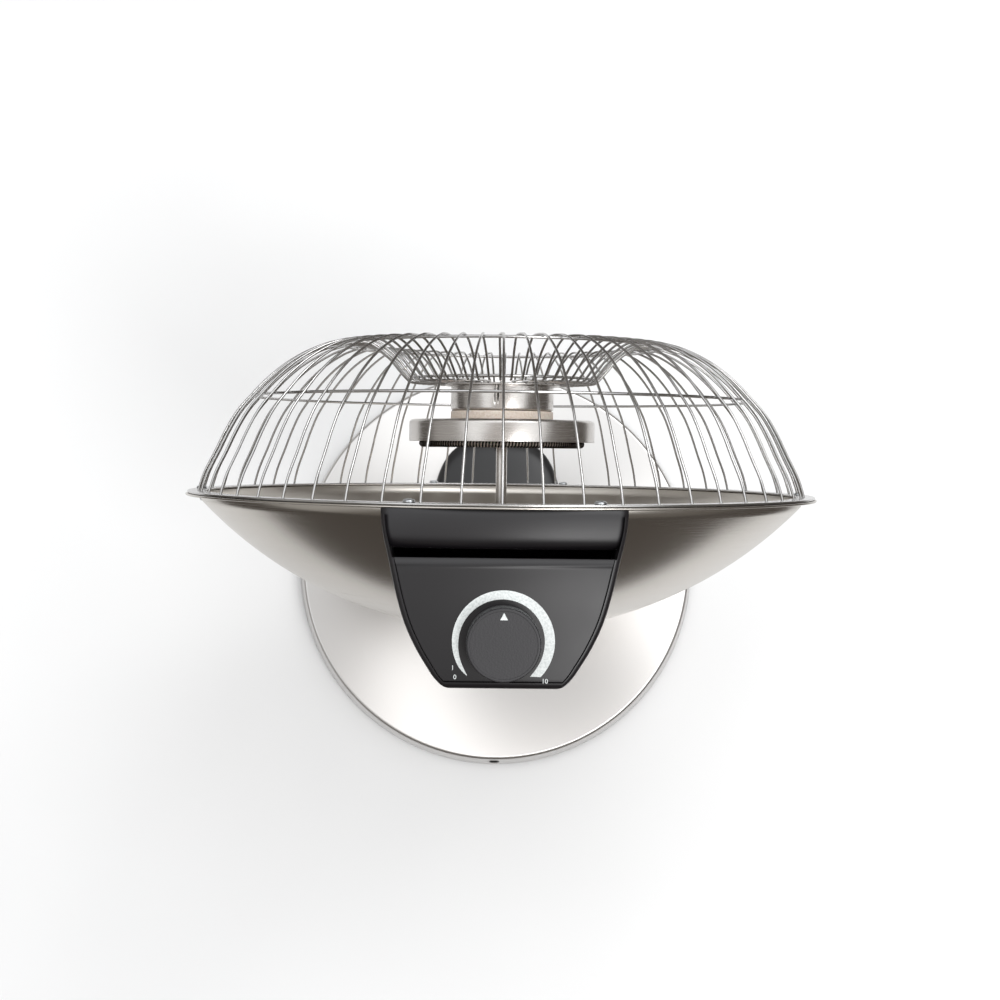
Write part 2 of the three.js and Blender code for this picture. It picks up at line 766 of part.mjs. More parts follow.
function powerController() {
  const [halfWidth, halfDepth] = [controllerWidth / 2, controllerDepth / 2];
  const body = block(-halfWidth, halfWidth, controllerTop - controllerHeight, controllerTop,
    -dialBack - halfDepth, -dialBack + halfDepth);
  const bush = alongY(rod(bushRadius, controllerTop - clearance, panelHeight + knobGap / 2, 16));
  const bore = alongY(rod(shaftRadius + boreClearance, shaftBottom - clearance, panelHeight + past, 12));
  return cut(join(body, bush), bore);
}

function powerKnob() {
  const socket = shaftRadius + clearance;
  const flange = knobRadius + knobFlange;
  return alongY(turned([
    [socket, knobBottom],
    [flange, knobBottom],
    [flange, knobBottom + knobFlangeHeight],
    [knobRadius, knobBottom + knobFlangeHeight + knobFlange],
    [knobRadius - knobDraft, knobTop - knobBevel],
    [knobRadius - knobDraft - knobBevel, knobTop],
    [0, knobTop],
    [0, knobTop - knobTopWall],
    [socket, knobTop - knobTopWall],
  ], 32));
}

const knobShaft = () => alongY(rod(shaftRadius, shaftBottom, knobTop - knobTopWall - clearance, 16));

function thermalCutout() {
  const front = bowlZ(boxWaist - cutoutRadius) - clearance;
  const shoulder = front - cutoutHeight * 0.3;
  const back = front - cutoutHeight;
  return turned([
    [0, back], [cutoutRadius * 0.7, back], [cutoutRadius * 0.7, shoulder], [cutoutRadius, shoulder],
    [cutoutRadius, front], [0, front],
  ], 12).translate(0, boxWaist, 0);
}

function terminalBlock() {
  const y = (boxWaist + panelHeight - boxShoulderDrop) / 2 + terminalHeight;
  const rearWall = -boxRear - boxLean * (panelHeight - y - terminalHeight / 2) + boxWall;
  const back = rearWall + clearance;
  return block(-terminalWidth / 2, terminalWidth / 2, y - terminalHeight / 2, y + terminalHeight / 2,
    back, back + terminalDepth);
}

// ---------- base ----------
const plateUnder = bottomPlateHeight;
const plateOver = plateUnder + bottomPlateThickness;
const coverTop = baseHeight;
const standFloor = coverTop + clearance;
const armFootBack = hingeBack - armFootRun;
const armFootFront = armFootBack - armFootLength;
const boltPlaces = [-1, 1].flatMap((side) => [
  [side * (armFootHalfWidth - standBoltInset), armFootFront + standBoltEndInset],
  [side * (armFootHalfWidth - standBoltInset), armFootBack - standBoltEndInset],
]);

const standBolts = (radius, from, to) =>
  boltPlaces.map(([x, y]) => rod(radius, from, to, 12).translate(x, y, 0));

// Slope of the skirt, as its radius at a height.
const bendBottom = baseHeight - coverBend;
const skirtSlope = (baseDraft - coverBendRun) / (bendBottom - skirtBottom);
const skirtAt = (z) => baseRadius - skirtSlope * (z - skirtBottom);

function baseCover() {
  const profile = [
    [0, coverTop - coverWall],
    [baseTopRadius, coverTop - coverWall],
    [skirtAt(bendBottom) - coverWall, bendBottom - coverWall],
    [baseRadius - coverWall, skirtBottom],
    [baseRadius, skirtBottom],
    [skirtAt(bendBottom), bendBottom],
    [baseTopRadius + coverBendRun * 0.65, coverTop - coverBend / 3],
    [baseTopRadius, coverTop],
    [0, coverTop],
  ];
  const cordHole = rod(cordHoleRadius, baseRadius / 2, baseRadius + past, 16)
    .rotateX(-Math.PI / 2).translate(0, 0, cordHoleHeight);
  const boltHoles = standBolts(standBoltRadius + boreClearance, plateOver, coverTop + past);
  return cut(turned(profile, 48), cordHole, ...boltHoles);
}

function cordBush() {
  const wall = skirtAt(cordHoleHeight);
  const inside = wall - coverWall - cordBushLip;
  return turned([
    [cordBoreRadius, wall - cordBushLength],
    [cordHoleRadius + cordBushLip, wall - cordBushLength],
    [cordHoleRadius + cordBushLip, inside],
    [cordHoleRadius - clearance, inside],
    [cordHoleRadius - clearance, wall + coverWall / 2],
    [cordBoreRadius, wall + coverWall / 2],
  ], 12).rotateX(-Math.PI / 2).translate(0, 0, cordHoleHeight);
}

function bottomPlate() {
  const plate = rod(skirtAt(plateUnder) - 2 * coverWall, plateUnder, plateOver, 40);
  const tipHole = rod(tipPinRadius + boreClearance, 0, plateOver + past, 16).translate(0, tipBack, 0);
  return cut(plate, tipHole, ...standBolts(standBoltRadius + boreClearance, 0, plateOver + past));
}

function counterweight() {
  const weight = rod(weightRadius, plateOver + clearance, plateOver + clearance + weightThickness, 36);
  return cut(weight, ...standBolts(standBoltRadius + boreClearance, 0, coverTop + past));
}

function foot(angle) {
  const top = plateUnder - clearance;
  const edge = footRadius * 0.15;
  const side = [[footRadius - edge, 0], [footRadius, edge], [footRadius - edge / 2, top]];
  return turned([[0, 0], ...side, [0, top]], 12)
    .translate(footCircle * Math.cos(angle * degrees), footCircle * Math.sin(angle * degrees), 0);
}

// ---------- tip-over switch ----------
function tipSwitch() {
  const bottom = plateOver + clearance;
  const [halfWidth, halfDepth] = [tipBodyWidth / 2, tipBodyDepth / 2];
  const body = block(-halfWidth, halfWidth, tipBack - halfDepth, tipBack + halfDepth,
    bottom, bottom + tipBodyHeight);
  const bore = rod(tipPinRadius + boreClearance, 0, bottom + tipBodyHeight - tipTravel / 2, 16);
  return cut(body, bore.translate(0, tipBack, 0));
}

function tipPlunger() {
  const top = plateOver + tipBodyHeight - tipTravel;
  const nose = tipPinRadius / 4;
  return turned([
    [0, clearance],
    [tipPinRadius - nose, clearance],
    [tipPinRadius, clearance + nose],
    [tipPinRadius, top],
    [0, top],
  ], 12).translate(0, tipBack, 0);
}

// ---------- stand ----------
const standTop = hingeHeight - neckDrop;
const neckLevel = standTop - standFloor;
const shinLevel = (calfLevel + neckLevel) / 2;

// Where the stand's front, back and side lie, as [level over the base cover, distance] pairs.
const calfFront = hingeBack - calfFrontRun;
const calfBack = hingeBack - calfBackRun;
const neckFront = hingeBack - neckFrontRun;
const neckBack = hingeBack + neckBackRun;
const frontLine = [
  [0, -standToe],
  [toeEdge, -standToe + clearance * 6],
  [(toeEdge + instepLevel) / 2, -(standToe + instepFront) / 2 - toeBow],
  [instepLevel, -instepFront],
  [rampLevel, -rampFront],
  [ankleLevel, hingeBack - ankleRun],
  [calfLevel, calfFront],
  [shinLevel, (calfFront + neckFront) / 2 + shinBow],
  [neckLevel, neckFront],
];
const backLine = [
  [0, hingeBack + heelRun],
  [instepLevel, hingeBack + heelRun - heelRise],
  [ankleLevel, calfBack + heelRise / 2],
  [calfLevel, calfBack],
  [shinLevel, (calfBack + neckBack) / 2 - shinBow],
  [neckLevel, neckBack],
];
const sideLine = [
  [0, standFootHalfWidth],
  [instepLevel, standFootHalfWidth - heelRise / 2],
  [ankleLevel, ankleHalfWidth],
  [calfLevel, calfHalfWidth],
  [shinLevel, (calfHalfWidth + neckHalfWidth) / 2 - shinBow],
  [neckLevel, neckHalfWidth],
];

// Value of a line of [level, value] pairs at a level.
function valueAt(line, level) {
  const i = line.findIndex(([top]) => top >= level);
  const [[from, before], [to, after]] = [line[Math.max(i - 1, 0)], line[i]];
  return from === to ? after : THREE.MathUtils.mapLinear(level, from, to, before, after);
}

// Skin of the stand through sections at the front line's levels, drawn in by an inset.
function standBody(inset) {
  return sweepRings(frontLine.map(([level, front], i) => {
    const back = valueAt(backLine, level);
    const halfWidth = valueAt(sideLine, level);
    const rise = i < frontLine.length - 1 ? -inset : inset;
    return standSection(front + inset, back - inset, halfWidth - inset, standFloor + level + rise);
  }));
}

// Level ring of a rounded rectangle between a front and a back.
function standSection(front, back, halfWidth, height) {
  const sides = 20;
  const round = (value) => Math.sign(value) * Math.abs(value) ** (2 / standSquareness);
  return Array.from({ length: sides }, (_, j) => {
    const angle = 2 * Math.PI * (j + 0.5) / sides;
    return [
      halfWidth * round(Math.cos(angle)),
      (front + back) / 2 + (back - front) / 2 * round(Math.sin(angle)),
      height,
    ];
  });
}

// Middle of the stand in side view, where the two mouldings meet and the arm runs up between them.
const armFootMiddle = (armFootFront + armFootBack) / 2;
const armLine = smooth([
  [armFootMiddle, standFloor + clearance],
  [armFootMiddle + standWall, standFloor + ankleLevel],
  [(calfFront + calfBack) / 2 - standWall, standFloor + calfLevel],
  [hingeBack - armHalfThickness * 2, standFloor + shinLevel],
  [hingeBack - shinBow, standTop - neckDrop],
  [hingeBack, hingeHeight],
], 16);

function supportArm() {
  const offset = (side) => armLine.map(([y, z]) => [y + side * armHalfThickness, z]);
  const bar = sidePrism([...offset(-1), ...offset(1).reverse()], -knuckleHalfWidth, knuckleHalfWidth);
  const onHinge = (geometry) => geometry.rotateY(Math.PI / 2).translate(0, hingeBack, hingeHeight);
  const knuckle = onHinge(rod(knuckleRadius, -knuckleHalfWidth, knuckleHalfWidth, 16));
  const plate = block(-armFootHalfWidth, armFootHalfWidth, armFootFront, armFootBack,
    standFloor, standFloor + armFootThickness);
  const bore = onHinge(rod(hingePinRadius + boreClearance, -past, past, 12));
  const boltHoles = standBolts(standBoltRadius + boreClearance, 0, standFloor + past);
  return cut(join(bar, knuckle, plate), bore, ...boltHoles);
}

function standBolt([x, y]) {
  const seat = standFloor + armFootThickness + clearance;
  const end = plateOver + bottomPlateThickness;
  const top = seat + standBoltHeadHeight;
  return turned([
    [0, end],
    [standBoltRadius, end],
    [standBoltRadius, seat],
    [standBoltHead, seat],
    [standBoltHead, top],
    [0, top],
  ], 6).translate(x, y, 0);
}

// One moulding of the stand: the front half takes the foot, the rear half closes the back.
function standShell(side) {
  const split = armLine.map(([y, z]) => [y + side * clearance / 2, z]);
  const far = side * (standToe + hingeBack + past);
  const half = sidePrism([
    [split[0][0], standFloor - past], ...split.slice(1), [split.at(-1)[0], standTop + past],
    [far, standTop + past], [far, standFloor - past],
  ], -standFootHalfWidth - past, standFootHalfWidth + past);
  return common(cut(standBody(0), standBody(standWall)), half);
}

// ---------- build ----------
const midSlope = Math.PI / 2 - Math.atan2(shoulderHeight - skirtHeight, skirtRadius - shoulderRadius);

piece(stand, "base_cover", baseCover(), materials.brushedSteel);
piece(stand, "base_bottom_plate", bottomPlate(), materials.darkSteel);
piece(stand, "counterweight", counterweight(), materials.castIron);
piece(stand, "cord_bush", cordBush(), materials.rubber);
footAngles.forEach((angle, i) => piece(stand, `foot_${i + 1}`, foot(angle), materials.rubber));
piece(stand, "tip_switch", tipSwitch(), materials.blackPlastic);
piece(stand, "tip_plunger", tipPlunger(), materials.blackPlastic);
piece(stand, "support_arm", supportArm(), materials.darkSteel);
boltPlaces.forEach((place, i) => piece(stand, `stand_bolt_${i + 1}`, standBolt(place), materials.plated));
piece(stand, "stand_front_shell", standShell(-1), materials.blackPlastic);
piece(stand, "stand_rear_shell", standShell(1), materials.blackPlastic);

piece(head, "reflector_dish", reflectorDish(), materials.spunSteel);
piece(head, "guard_cage", guardCage(), materials.plated);
piece(head, "guard_mid_ring", guardRing(midRingRadius, midRingHeight, midSlope, wireCount), materials.plated);
piece(head, "guard_crest_ring", guardRing(crestRadius, crestHeight, 0, wireCount / 2), materials.plated);
piece(head, "guard_recess_ring", guardRing(recessRadius, recessHeight, 0, wireCount / 2), materials.plated);
piece(head, "guard_centre_plate", rod(plateRadius, plateBottom, plateTop, 28), materials.plated);
rimScrewAngles.forEach((angle, i) => piece(head, `rim_screw_${i + 1}`, rimScrew(angle), materials.plated));
piece(head, "element_post", rod(postRadius, plateBack - postTail, postTop, 16), materials.plated);
piece(head, "coil_former", coilFormer(), materials.ceramic);
piece(head, "heating_coil", heatingCoil(), materials.coilAlloy);
piece(head, "coil_terminal_1", coilTerminal(-1), materials.brass);
piece(head, "coil_terminal_2", coilTerminal(1), materials.brass);
piece(head, "element_cap", elementCap(), materials.brushedSteel);
piece(head, "ceramic_spacer", tube(postHole, spacerRadius, spacerBottom, spacerTop, 32), materials.ceramic);
piece(head, "element_cup", elementCup(), materials.brushedSteel);
piece(head, "element_nut", elementNut(elementNutBottom, elementNutHeight), materials.plated);
piece(head, "post_nut", elementNut(plateBack - clearance - postNutHeight, postNutHeight), materials.plated);
piece(head, "tilt_bracket", tiltBracket(), materials.darkSteel);
piece(head, "hinge_pin", hingePin(), materials.plated);
piece(head, "hinge_nut", hingeNut(), materials.plated);
piece(head, "friction_washer_1", frictionRing(-1), materials.brass);
piece(head, "friction_washer_2", frictionRing(1), materials.brass);
piece(head, "control_housing", controlHousing(), materials.blackPlastic);
piece(head, "control_fascia", controlFascia(), materials.blackPlastic);
piece(head, "power_controller", powerController(), materials.darkSteel);
piece(head, "knob_shaft", knobShaft(), materials.plated);
piece(head, "power_knob", powerKnob(), materials.knobPlastic);
piece(head, "thermal_cutout", thermalCutout(), materials.brass);
piece(head, "terminal_block", terminalBlock(), materials.ceramic);

export default heater;
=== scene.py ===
# Parabolic heater seen from above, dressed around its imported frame. Sizes are in millimetres unless noted.
import math

import bmesh
import bpy
from mathutils import Matrix, Vector


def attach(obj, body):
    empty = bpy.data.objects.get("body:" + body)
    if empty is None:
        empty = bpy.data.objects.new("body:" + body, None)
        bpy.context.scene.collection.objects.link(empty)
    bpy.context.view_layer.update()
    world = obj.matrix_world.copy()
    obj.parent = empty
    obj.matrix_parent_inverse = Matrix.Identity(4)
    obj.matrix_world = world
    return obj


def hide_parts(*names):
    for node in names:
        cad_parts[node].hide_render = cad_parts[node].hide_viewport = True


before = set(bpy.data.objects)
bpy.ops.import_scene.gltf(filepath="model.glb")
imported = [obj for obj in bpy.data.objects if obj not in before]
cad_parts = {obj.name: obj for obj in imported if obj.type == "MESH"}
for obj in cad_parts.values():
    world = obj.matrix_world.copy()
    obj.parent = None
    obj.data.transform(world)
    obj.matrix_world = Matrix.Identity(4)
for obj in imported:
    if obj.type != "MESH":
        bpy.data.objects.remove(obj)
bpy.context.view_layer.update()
mm = 0.001

headFrame = {"forward": 17, "height": 336, "tilt": 10}  # centre of the rim, and how far the dish looks up
toHead = Matrix.Translation((0, -headFrame["forward"] * mm, headFrame["height"] * mm)) @ Matrix.Rotation(
    math.radians(90 - headFrame["tilt"]), 4, "X")
toWorld = Matrix.Identity(4)


# colours and nodes

def linear(code, alpha=1.0):
    def channel(value):
        return value / 12.92 if value <= 0.04045 else ((value + 0.055) / 1.055) ** 2.4
    return tuple(channel(int(code[i:i + 2], 16) / 255) for i in (1, 3, 5)) + (alpha,)


def addNode(tree, kind, settings=None, values=None, links=None):
    # one node, with its settings, its own socket values and the sockets that feed it
    node = tree.nodes.new(kind)
    for name, value in (settings or {}).items():
        setattr(node, name, value)
    for name, value in (values or {}).items():
        node.inputs[name].default_value = value
    for name, source in (links or {}).items():
        tree.links.new(source, node.inputs[name])
    return node


def newMaterial(name, surface):
    # a material whose Principled shader takes the surface's plain values, and its patterns' Object coordinates
    material = bpy.data.materials.new(name)
    material.use_nodes = True
    tree = material.node_tree
    shader = tree.nodes["Principled BSDF"]
    for socket, value in surface.items():
        shader.inputs[socket].default_value = value
    place = addNode(tree, "ShaderNodeTexCoord")
    return material, tree, shader, place.outputs["Object"]


def applyPattern(tree, shader, pattern, polish=None, tint=None, relief=None):
    # a pattern varies the roughness (its own range, then the roughness range), the colour (two stops) or the
    # relief (strength, depth in millimetres)
    if polish:
        sockets = ("From Min", "From Max", "To Min", "To Max")
        varied = addNode(tree, "ShaderNodeMapRange", values=dict(zip(sockets, polish)), links={"Value": pattern})
        tree.links.new(varied.outputs["Result"], shader.inputs["Roughness"])
    if tint:
        ramp = addNode(tree, "ShaderNodeValToRGB", links={"Fac": pattern})
        for element, (place, colour) in zip(ramp.color_ramp.elements, tint):
            element.position = place
            element.color = colour
        tree.links.new(ramp.outputs["Color"], shader.inputs["Base Color"])
    if relief:
        bump = addNode(tree, "ShaderNodeBump", values={"Strength": relief[0], "Distance": relief[1] * mm},
                       links={"Height": pattern})
        tree.links.new(bump.outputs["Normal"], shader.inputs["Normal"])


def grey(value):
    return (value, value, value, 1)


# meshes

def meshPiece(name, vertices, faces, material, place=toWorld, sharp=35, uvs=None):
    mesh = bpy.data.meshes.new(name)
    mesh.from_pydata([place @ (Vector(v) * mm) for v in vertices], [], faces)
    if uvs:
        layer = mesh.uv_layers.new(name="spin")
        for polygon in mesh.polygons:
            for corner, loop in enumerate(polygon.loop_indices):
                layer.data[loop].uv = uvs[polygon.index][corner]
    mesh.materials.append(material)
    mesh.validate()
    for polygon in mesh.polygons:
        polygon.use_smooth = True
    mesh.set_sharp_from_angle(angle=math.radians(sharp))
    piece = bpy.data.objects.new(name, mesh)
    bpy.context.scene.collection.objects.link(piece)
    return piece


def facesOut(piece, merged=False):
    # every face turned to the outside, with doubled points merged first where asked
    work = bmesh.new()
    work.from_mesh(piece.data)
    if merged:
        bmesh.ops.remove_doubles(work, verts=work.verts, dist=1e-6)
    bmesh.ops.recalc_face_normals(work, faces=work.faces)
    work.to_mesh(piece.data)
    work.free()
    return piece


def rounded(points, closed=True, steps=5):
    # corners given as (u, v, radius) become arcs
    out = []
    count = len(points)
    for i, (u, v, radius) in enumerate(points):
        here = Vector((u, v))
        if radius <= 0 or (not closed and i in (0, count - 1)):
            out.append((u, v))
            continue
        before = Vector(points[i - 1][:2]) - here
        after = Vector(points[(i + 1) % count][:2]) - here
        angle = before.angle(after)
        if angle > math.pi - 0.02:
            out.append((u, v))
            continue
        reach = min(radius / math.tan(angle / 2), before.length * 0.49, after.length * 0.49)
        real = reach * math.tan(angle / 2)
        before.normalize()
        after.normalize()
        centre = here + (before + after).normalized() * (real / math.sin(angle / 2))
        start = here + before * reach - centre
        turn = start.angle_signed(here + after * reach - centre)
        for k in range(steps + 1):
            a = -turn * k / steps
            out.append((centre.x + start.x * math.cos(a) - start.y * math.sin(a),
                        centre.y + start.x * math.sin(a) + start.y * math.cos(a)))
    return out


def lathe(name, profile, material, place=toWorld, segments=128, sharp=35, centre=(0, 0)):
    # solid of revolution about +Z; a profile that starts off the axis closes on itself
    closed = profile[0][0] > 1e-6
    vertices, rows = [], []
    for r, z in profile:
        if r < 1e-6:
            rows.append([len(vertices)] * segments)
            vertices.append((centre[0], centre[1], z))
        else:
            rows.append([len(vertices) + k for k in range(segments)])
            vertices += [(centre[0] + r * math.cos(2 * math.pi * k / segments),
                          centre[1] + r * math.sin(2 * math.pi * k / segments), z) for k in range(segments)]
    lengths = [0]
    for a, b in zip(profile, profile[1:] + profile[:1]):
        lengths.append(lengths[-1] + math.dist(a, b))
    faces, uvs = [], []
    for i in range(len(profile) if closed else len(profile) - 1):
        lower, upper = rows[i], rows[(i + 1) % len(profile)]
        for k in range(segments):
            n = (k + 1) % segments
            corners = [(lower[k], k, i), (lower[n], k + 1, i), (upper[n], k + 1, i + 1), (upper[k], k, i + 1)]
            kept = []
            for corner in corners:
                if corner[0] not in [other[0] for other in kept]:
                    kept.append(corner)
            if len(kept) > 2:
                faces.append([corner[0] for corner in kept])
                uvs.append([(corner[1] / segments, lengths[corner[2]] * 0.01) for corner in kept])
    return facesOut(meshPiece(name, vertices, faces, material, place, sharp, uvs))


def loft(name, rings, material, place=toWorld, sharp=35):
    # skin over closed rings that have the same number of points
    size = len(rings[0])
    vertices = [point for ring in rings for point in ring]
    faces = []
    for i in range(len(rings) - 1):
        for j in range(size):
            n = (j + 1) % size
            faces.append((i * size + j, i * size + n, (i + 1) * size + n, (i + 1) * size + j))
    faces.append(tuple(range(size))[::-1])
    faces.append(tuple((len(rings) - 1) * size + j for j in range(size)))
    return facesOut(meshPiece(name, vertices, faces, material, place, sharp))


def bake(piece):
    # the evaluated result as a plain mesh, with no modifier left
    evaluated = piece.evaluated_get(bpy.context.evaluated_depsgraph_get())
    mesh = bpy.data.meshes.new_from_object(evaluated)
    piece.modifiers.clear()
    piece.data = mesh
    return piece


def setInputs(modifier, values):
    for item in modifier.node_group.interface.items_tree:
        if item.item_type == "SOCKET" and item.in_out == "INPUT" and item.name in values:
            modifier[item.identifier] = values[item.name]


def newTree(name, inputs):
    tree = bpy.data.node_groups.new(name, "GeometryNodeTree")
    tree.interface.new_socket(name="Geometry", in_out="INPUT", socket_type="NodeSocketGeometry")
    for label, kind in inputs:
        tree.interface.new_socket(name=label, in_out="INPUT", socket_type=kind)
    tree.interface.new_socket(name="Geometry", in_out="OUTPUT", socket_type="NodeSocketGeometry")
    return tree, tree.nodes.new("NodeGroupInput"), tree.nodes.new("NodeGroupOutput")


def along(table, t):
    # smooth value of a table of (place, value) pairs
    if t <= table[0][0]:
        return table[0][1]
    for i in range(len(table) - 1):
        (a, p), (b, q) = table[i], table[i + 1]
        if t <= b:
            before = table[i - 1] if i else table[i]
            after = table[i + 2] if i + 2 < len(table) else table[i + 1]
            slopeIn = (q - before[1]) / (b - before[0])
            slopeOut = (after[1] - p) / (after[0] - a)
            s = (t - a) / (b - a)
            return ((2 * s ** 3 - 3 * s ** 2 + 1) * p + (s ** 3 - 2 * s ** 2 + s) * (b - a) * slopeIn
                    + (3 * s ** 2 - 2 * s ** 3) * q + (s ** 3 - s ** 2) * (b - a) * slopeOut)
    return table[-1][1]


def fitted(piece, body, finish, *nodes):
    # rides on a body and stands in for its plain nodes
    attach(piece, body)
    if nodes:
        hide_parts(*nodes)
    return piece


# materials

def turnedMetal(name, colour, rough, lines, strength, spread):
    # metal turned or brushed in circles: fine rings, a long soft streak across them, slightly uneven polish
    material, tree, shader, place = newMaterial(name, {
        "Base Color": linear(colour), "Metallic": 1.0, "Anisotropic": spread, "Roughness": rough})
    uv = addNode(tree, "ShaderNodeUVMap", {"uv_map": "spin"})
    tangent = addNode(tree, "ShaderNodeTangent", {"direction_type": "UV_MAP", "uv_map": "spin"})
    tree.links.new(tangent.outputs["Tangent"], shader.inputs["Tangent"])
    stretch = addNode(tree, "ShaderNodeMapping", values={"Scale": (6, lines, 1)}, links={"Vector": uv.outputs["UV"]})
    rings = addNode(tree, "ShaderNodeTexNoise", values={"Scale": 1.0, "Detail": 3.0, "Roughness": 0.7},
                    links={"Vector": stretch.outputs["Vector"]})
    cloud = addNode(tree, "ShaderNodeTexNoise", values={"Scale": 9.0, "Detail": 2.0}, links={"Vector": place})
    both = addNode(tree, "ShaderNodeMix", {"data_type": "FLOAT"}, {"Factor": 0.35},
                   {"A": rings.outputs["Fac"], "B": cloud.outputs["Fac"]})
    applyPattern(tree, shader, both.outputs["Result"], polish=(0.3, 0.7, rough - 0.05, rough + 0.06))
    applyPattern(tree, shader, rings.outputs["Fac"], relief=(strength, 0.05))
    return material


def platedWire():
    # drawn wire under bright plating: mirror-like, with faint draw marks that soften its glints
    material, tree, shader, place = newMaterial("nickelPlatedWire", {
        "Base Color": linear("#bdbcbb"), "Metallic": 1.0, "Roughness": 0.2})
    marks = addNode(tree, "ShaderNodeTexNoise", values={"Scale": 420.0, "Detail": 2.0}, links={"Vector": place})
    applyPattern(tree, shader, marks.outputs["Fac"], polish=(0, 1, 0.14, 0.3))
    return material


def mouldedPlastic(name, colour, rough, grain, depth):
    # moulded plastic: an even dark colour, spark-eroded grain of the tool, and a slightly patchy sheen
    material, tree, shader, place = newMaterial(name, {
        "Base Color": linear(colour), "Roughness": rough, "IOR": 1.53, "Specular IOR Level": 0.5})
    texture = addNode(tree, "ShaderNodeTexVoronoi", {"feature": "SMOOTH_F1"},
                      {"Scale": 1000 / grain, "Smoothness": 0.6}, {"Vector": place})
    cloud = addNode(tree, "ShaderNodeTexNoise", values={"Scale": 14.0, "Detail": 3.0}, links={"Vector": place})
    applyPattern(tree, shader, cloud.outputs["Fac"], polish=(0.3, 0.7, rough - 0.04, rough + 0.04))
    applyPattern(tree, shader, texture.outputs["Distance"], relief=(0.35, depth))
    return material


def firedCeramic():
    # pressed and fired steatite: warm beige, chalky, with small darker specks
    material, tree, shader, place = newMaterial("steatiteCeramic", {
        "Roughness": 0.62, "IOR": 1.58, "Subsurface Weight": 0.06, "Subsurface Scale": 0.002})
    specks = addNode(tree, "ShaderNodeTexNoise", values={"Scale": 900.0, "Detail": 3.0}, links={"Vector": place})
    applyPattern(tree, shader, specks.outputs["Fac"], relief=(0.25, 0.2),
                 tint=((0.3, linear("#dccbb9")), (0.6, linear("#efe2d6"))))
    return material


def resistanceWire():
    # chromium alloy wire that has been hot: dark brown to near black scale, dull
    material, tree, shader, place = newMaterial("oxidisedResistanceWire", {"Metallic": 0.6, "Roughness": 0.42})
    scale = addNode(tree, "ShaderNodeTexNoise", values={"Scale": 180.0, "Detail": 3.0}, links={"Vector": place})
    applyPattern(tree, shader, scale.outputs["Fac"], tint=((0.35, linear("#1d1916")), (0.6, linear("#3a322a"))))
    return material


def printedInk():
    # screen print on plastic: flat white, faintly mottled where the grain shows through
    material, tree, shader, place = newMaterial("whitePrint", {"Roughness": 0.5, "IOR": 1.5})
    mottle = addNode(tree, "ShaderNodeTexNoise", values={"Scale": 900.0, "Detail": 2.0}, links={"Vector": place})
    applyPattern(tree, shader, mottle.outputs["Fac"], tint=((0.35, linear("#ccd1d0")), (0.6, linear("#e3e7e6"))))
    return material


def coatedSteel(name, colour, rough, metallic):
    # pressed steel or casting under a thin dark coat: slight orange peel
    material, tree, shader, place = newMaterial(name, {
        "Base Color": linear(colour), "Roughness": rough, "Metallic": metallic, "IOR": 1.5})
    peel = addNode(tree, "ShaderNodeTexNoise", values={"Scale": 350.0, "Detail": 3.0}, links={"Vector": place})
    applyPattern(tree, shader, peel.outputs["Fac"], polish=(0, 1, rough - 0.08, rough + 0.08), relief=(0.3, 0.15))
    return material


# the large steel pieces: brushed in circles, so a light draws out into a long streak or wedge
baseSteel = turnedMetal("brushedStainlessDisc", "#cbc9c7", 0.34, 900, 0.06, 0.8)
bowlSteel = turnedMetal("spunStainlessBowl", "#c2bdb6", 0.24, 700, 0.03, 0.3)
bowlInside = turnedMetal("satinBowlInside", "#c6c1ba", 0.32, 500, 0.03, 0.4)  # warm, with no sharp reflection
canSteel = turnedMetal("turnedStainlessCan", "#cac6c2", 0.24, 500, 0.02, 0.3)
wireMetal = platedWire()
# black plastics, from the satin box to the deep black stand and the grained knob
blackPlastic = mouldedPlastic("blackAbsSatin", "#151316", 0.40, 0.5, 0.02)
panelPlastic = mouldedPlastic("blackAbsFascia", "#131114", 0.44, 0.6, 0.02)
standPlastic = mouldedPlastic("blackAbsStand", "#100f11", 0.42, 0.6, 0.03)
knobPlastic = mouldedPlastic("charcoalAbsGrained", "#262528", 0.5, 1.0, 0.12)
rubberBlack = mouldedPlastic("mouldedRubber", "#151516", 0.8, 0.8, 0.05)  # dull, grips the floor
ceramicBody = firedCeramic()
coilMetal = resistanceWire()
inkWhite = printedInk()
# hidden metal parts: blackened, cast, rolled or zinc plated
darkSteel = coatedSteel("blackenedSteel", "#3a3b3d", 0.45, 0.6)
castIron = coatedSteel("castIronWeight", "#3d3d3f", 0.7, 0.3)
brassPlain = coatedSteel("rolledBrass", "#b98f48", 0.35, 1.0)
zincPlate = coatedSteel("zincPlatedSteel", "#b9bcbe", 0.3, 1.0)
print("materials done")

# camera

# the photograph's view: almost straight down from behind the heater, its front towards the top of the image
view = {"x": 10.7, "y": 117.0, "z": 1286.6, "lean": 7.78, "yaw": 0.6, "roll": 0.68, "lens": 53.35, "sensor": 36.0}
camera = bpy.data.objects.new("camera", bpy.data.cameras.new("camera"))
camera.data.sensor_fit = "HORIZONTAL"
camera.data.sensor_width = view["sensor"]
camera.data.lens = view["lens"]
camera.data.clip_start = 0.05
lean = math.radians(view["lean"])
axes = Matrix(((-1, 0, 0), (0, -math.cos(lean), math.sin(lean)), (0, math.sin(lean), math.cos(lean)))).transposed()
camera.matrix_world = (Matrix.Translation(Vector((view["x"], view["y"], view["z"])) * mm) @ axes.to_4x4()
                       @ Matrix.Rotation(math.radians(-view["yaw"]), 4, "Y")
                       @ Matrix.Rotation(math.radians(view["roll"]), 4, "Z"))
bpy.context.scene.collection.objects.link(camera)
bpy.context.scene.camera = camera
print("camera done")


# light and floor

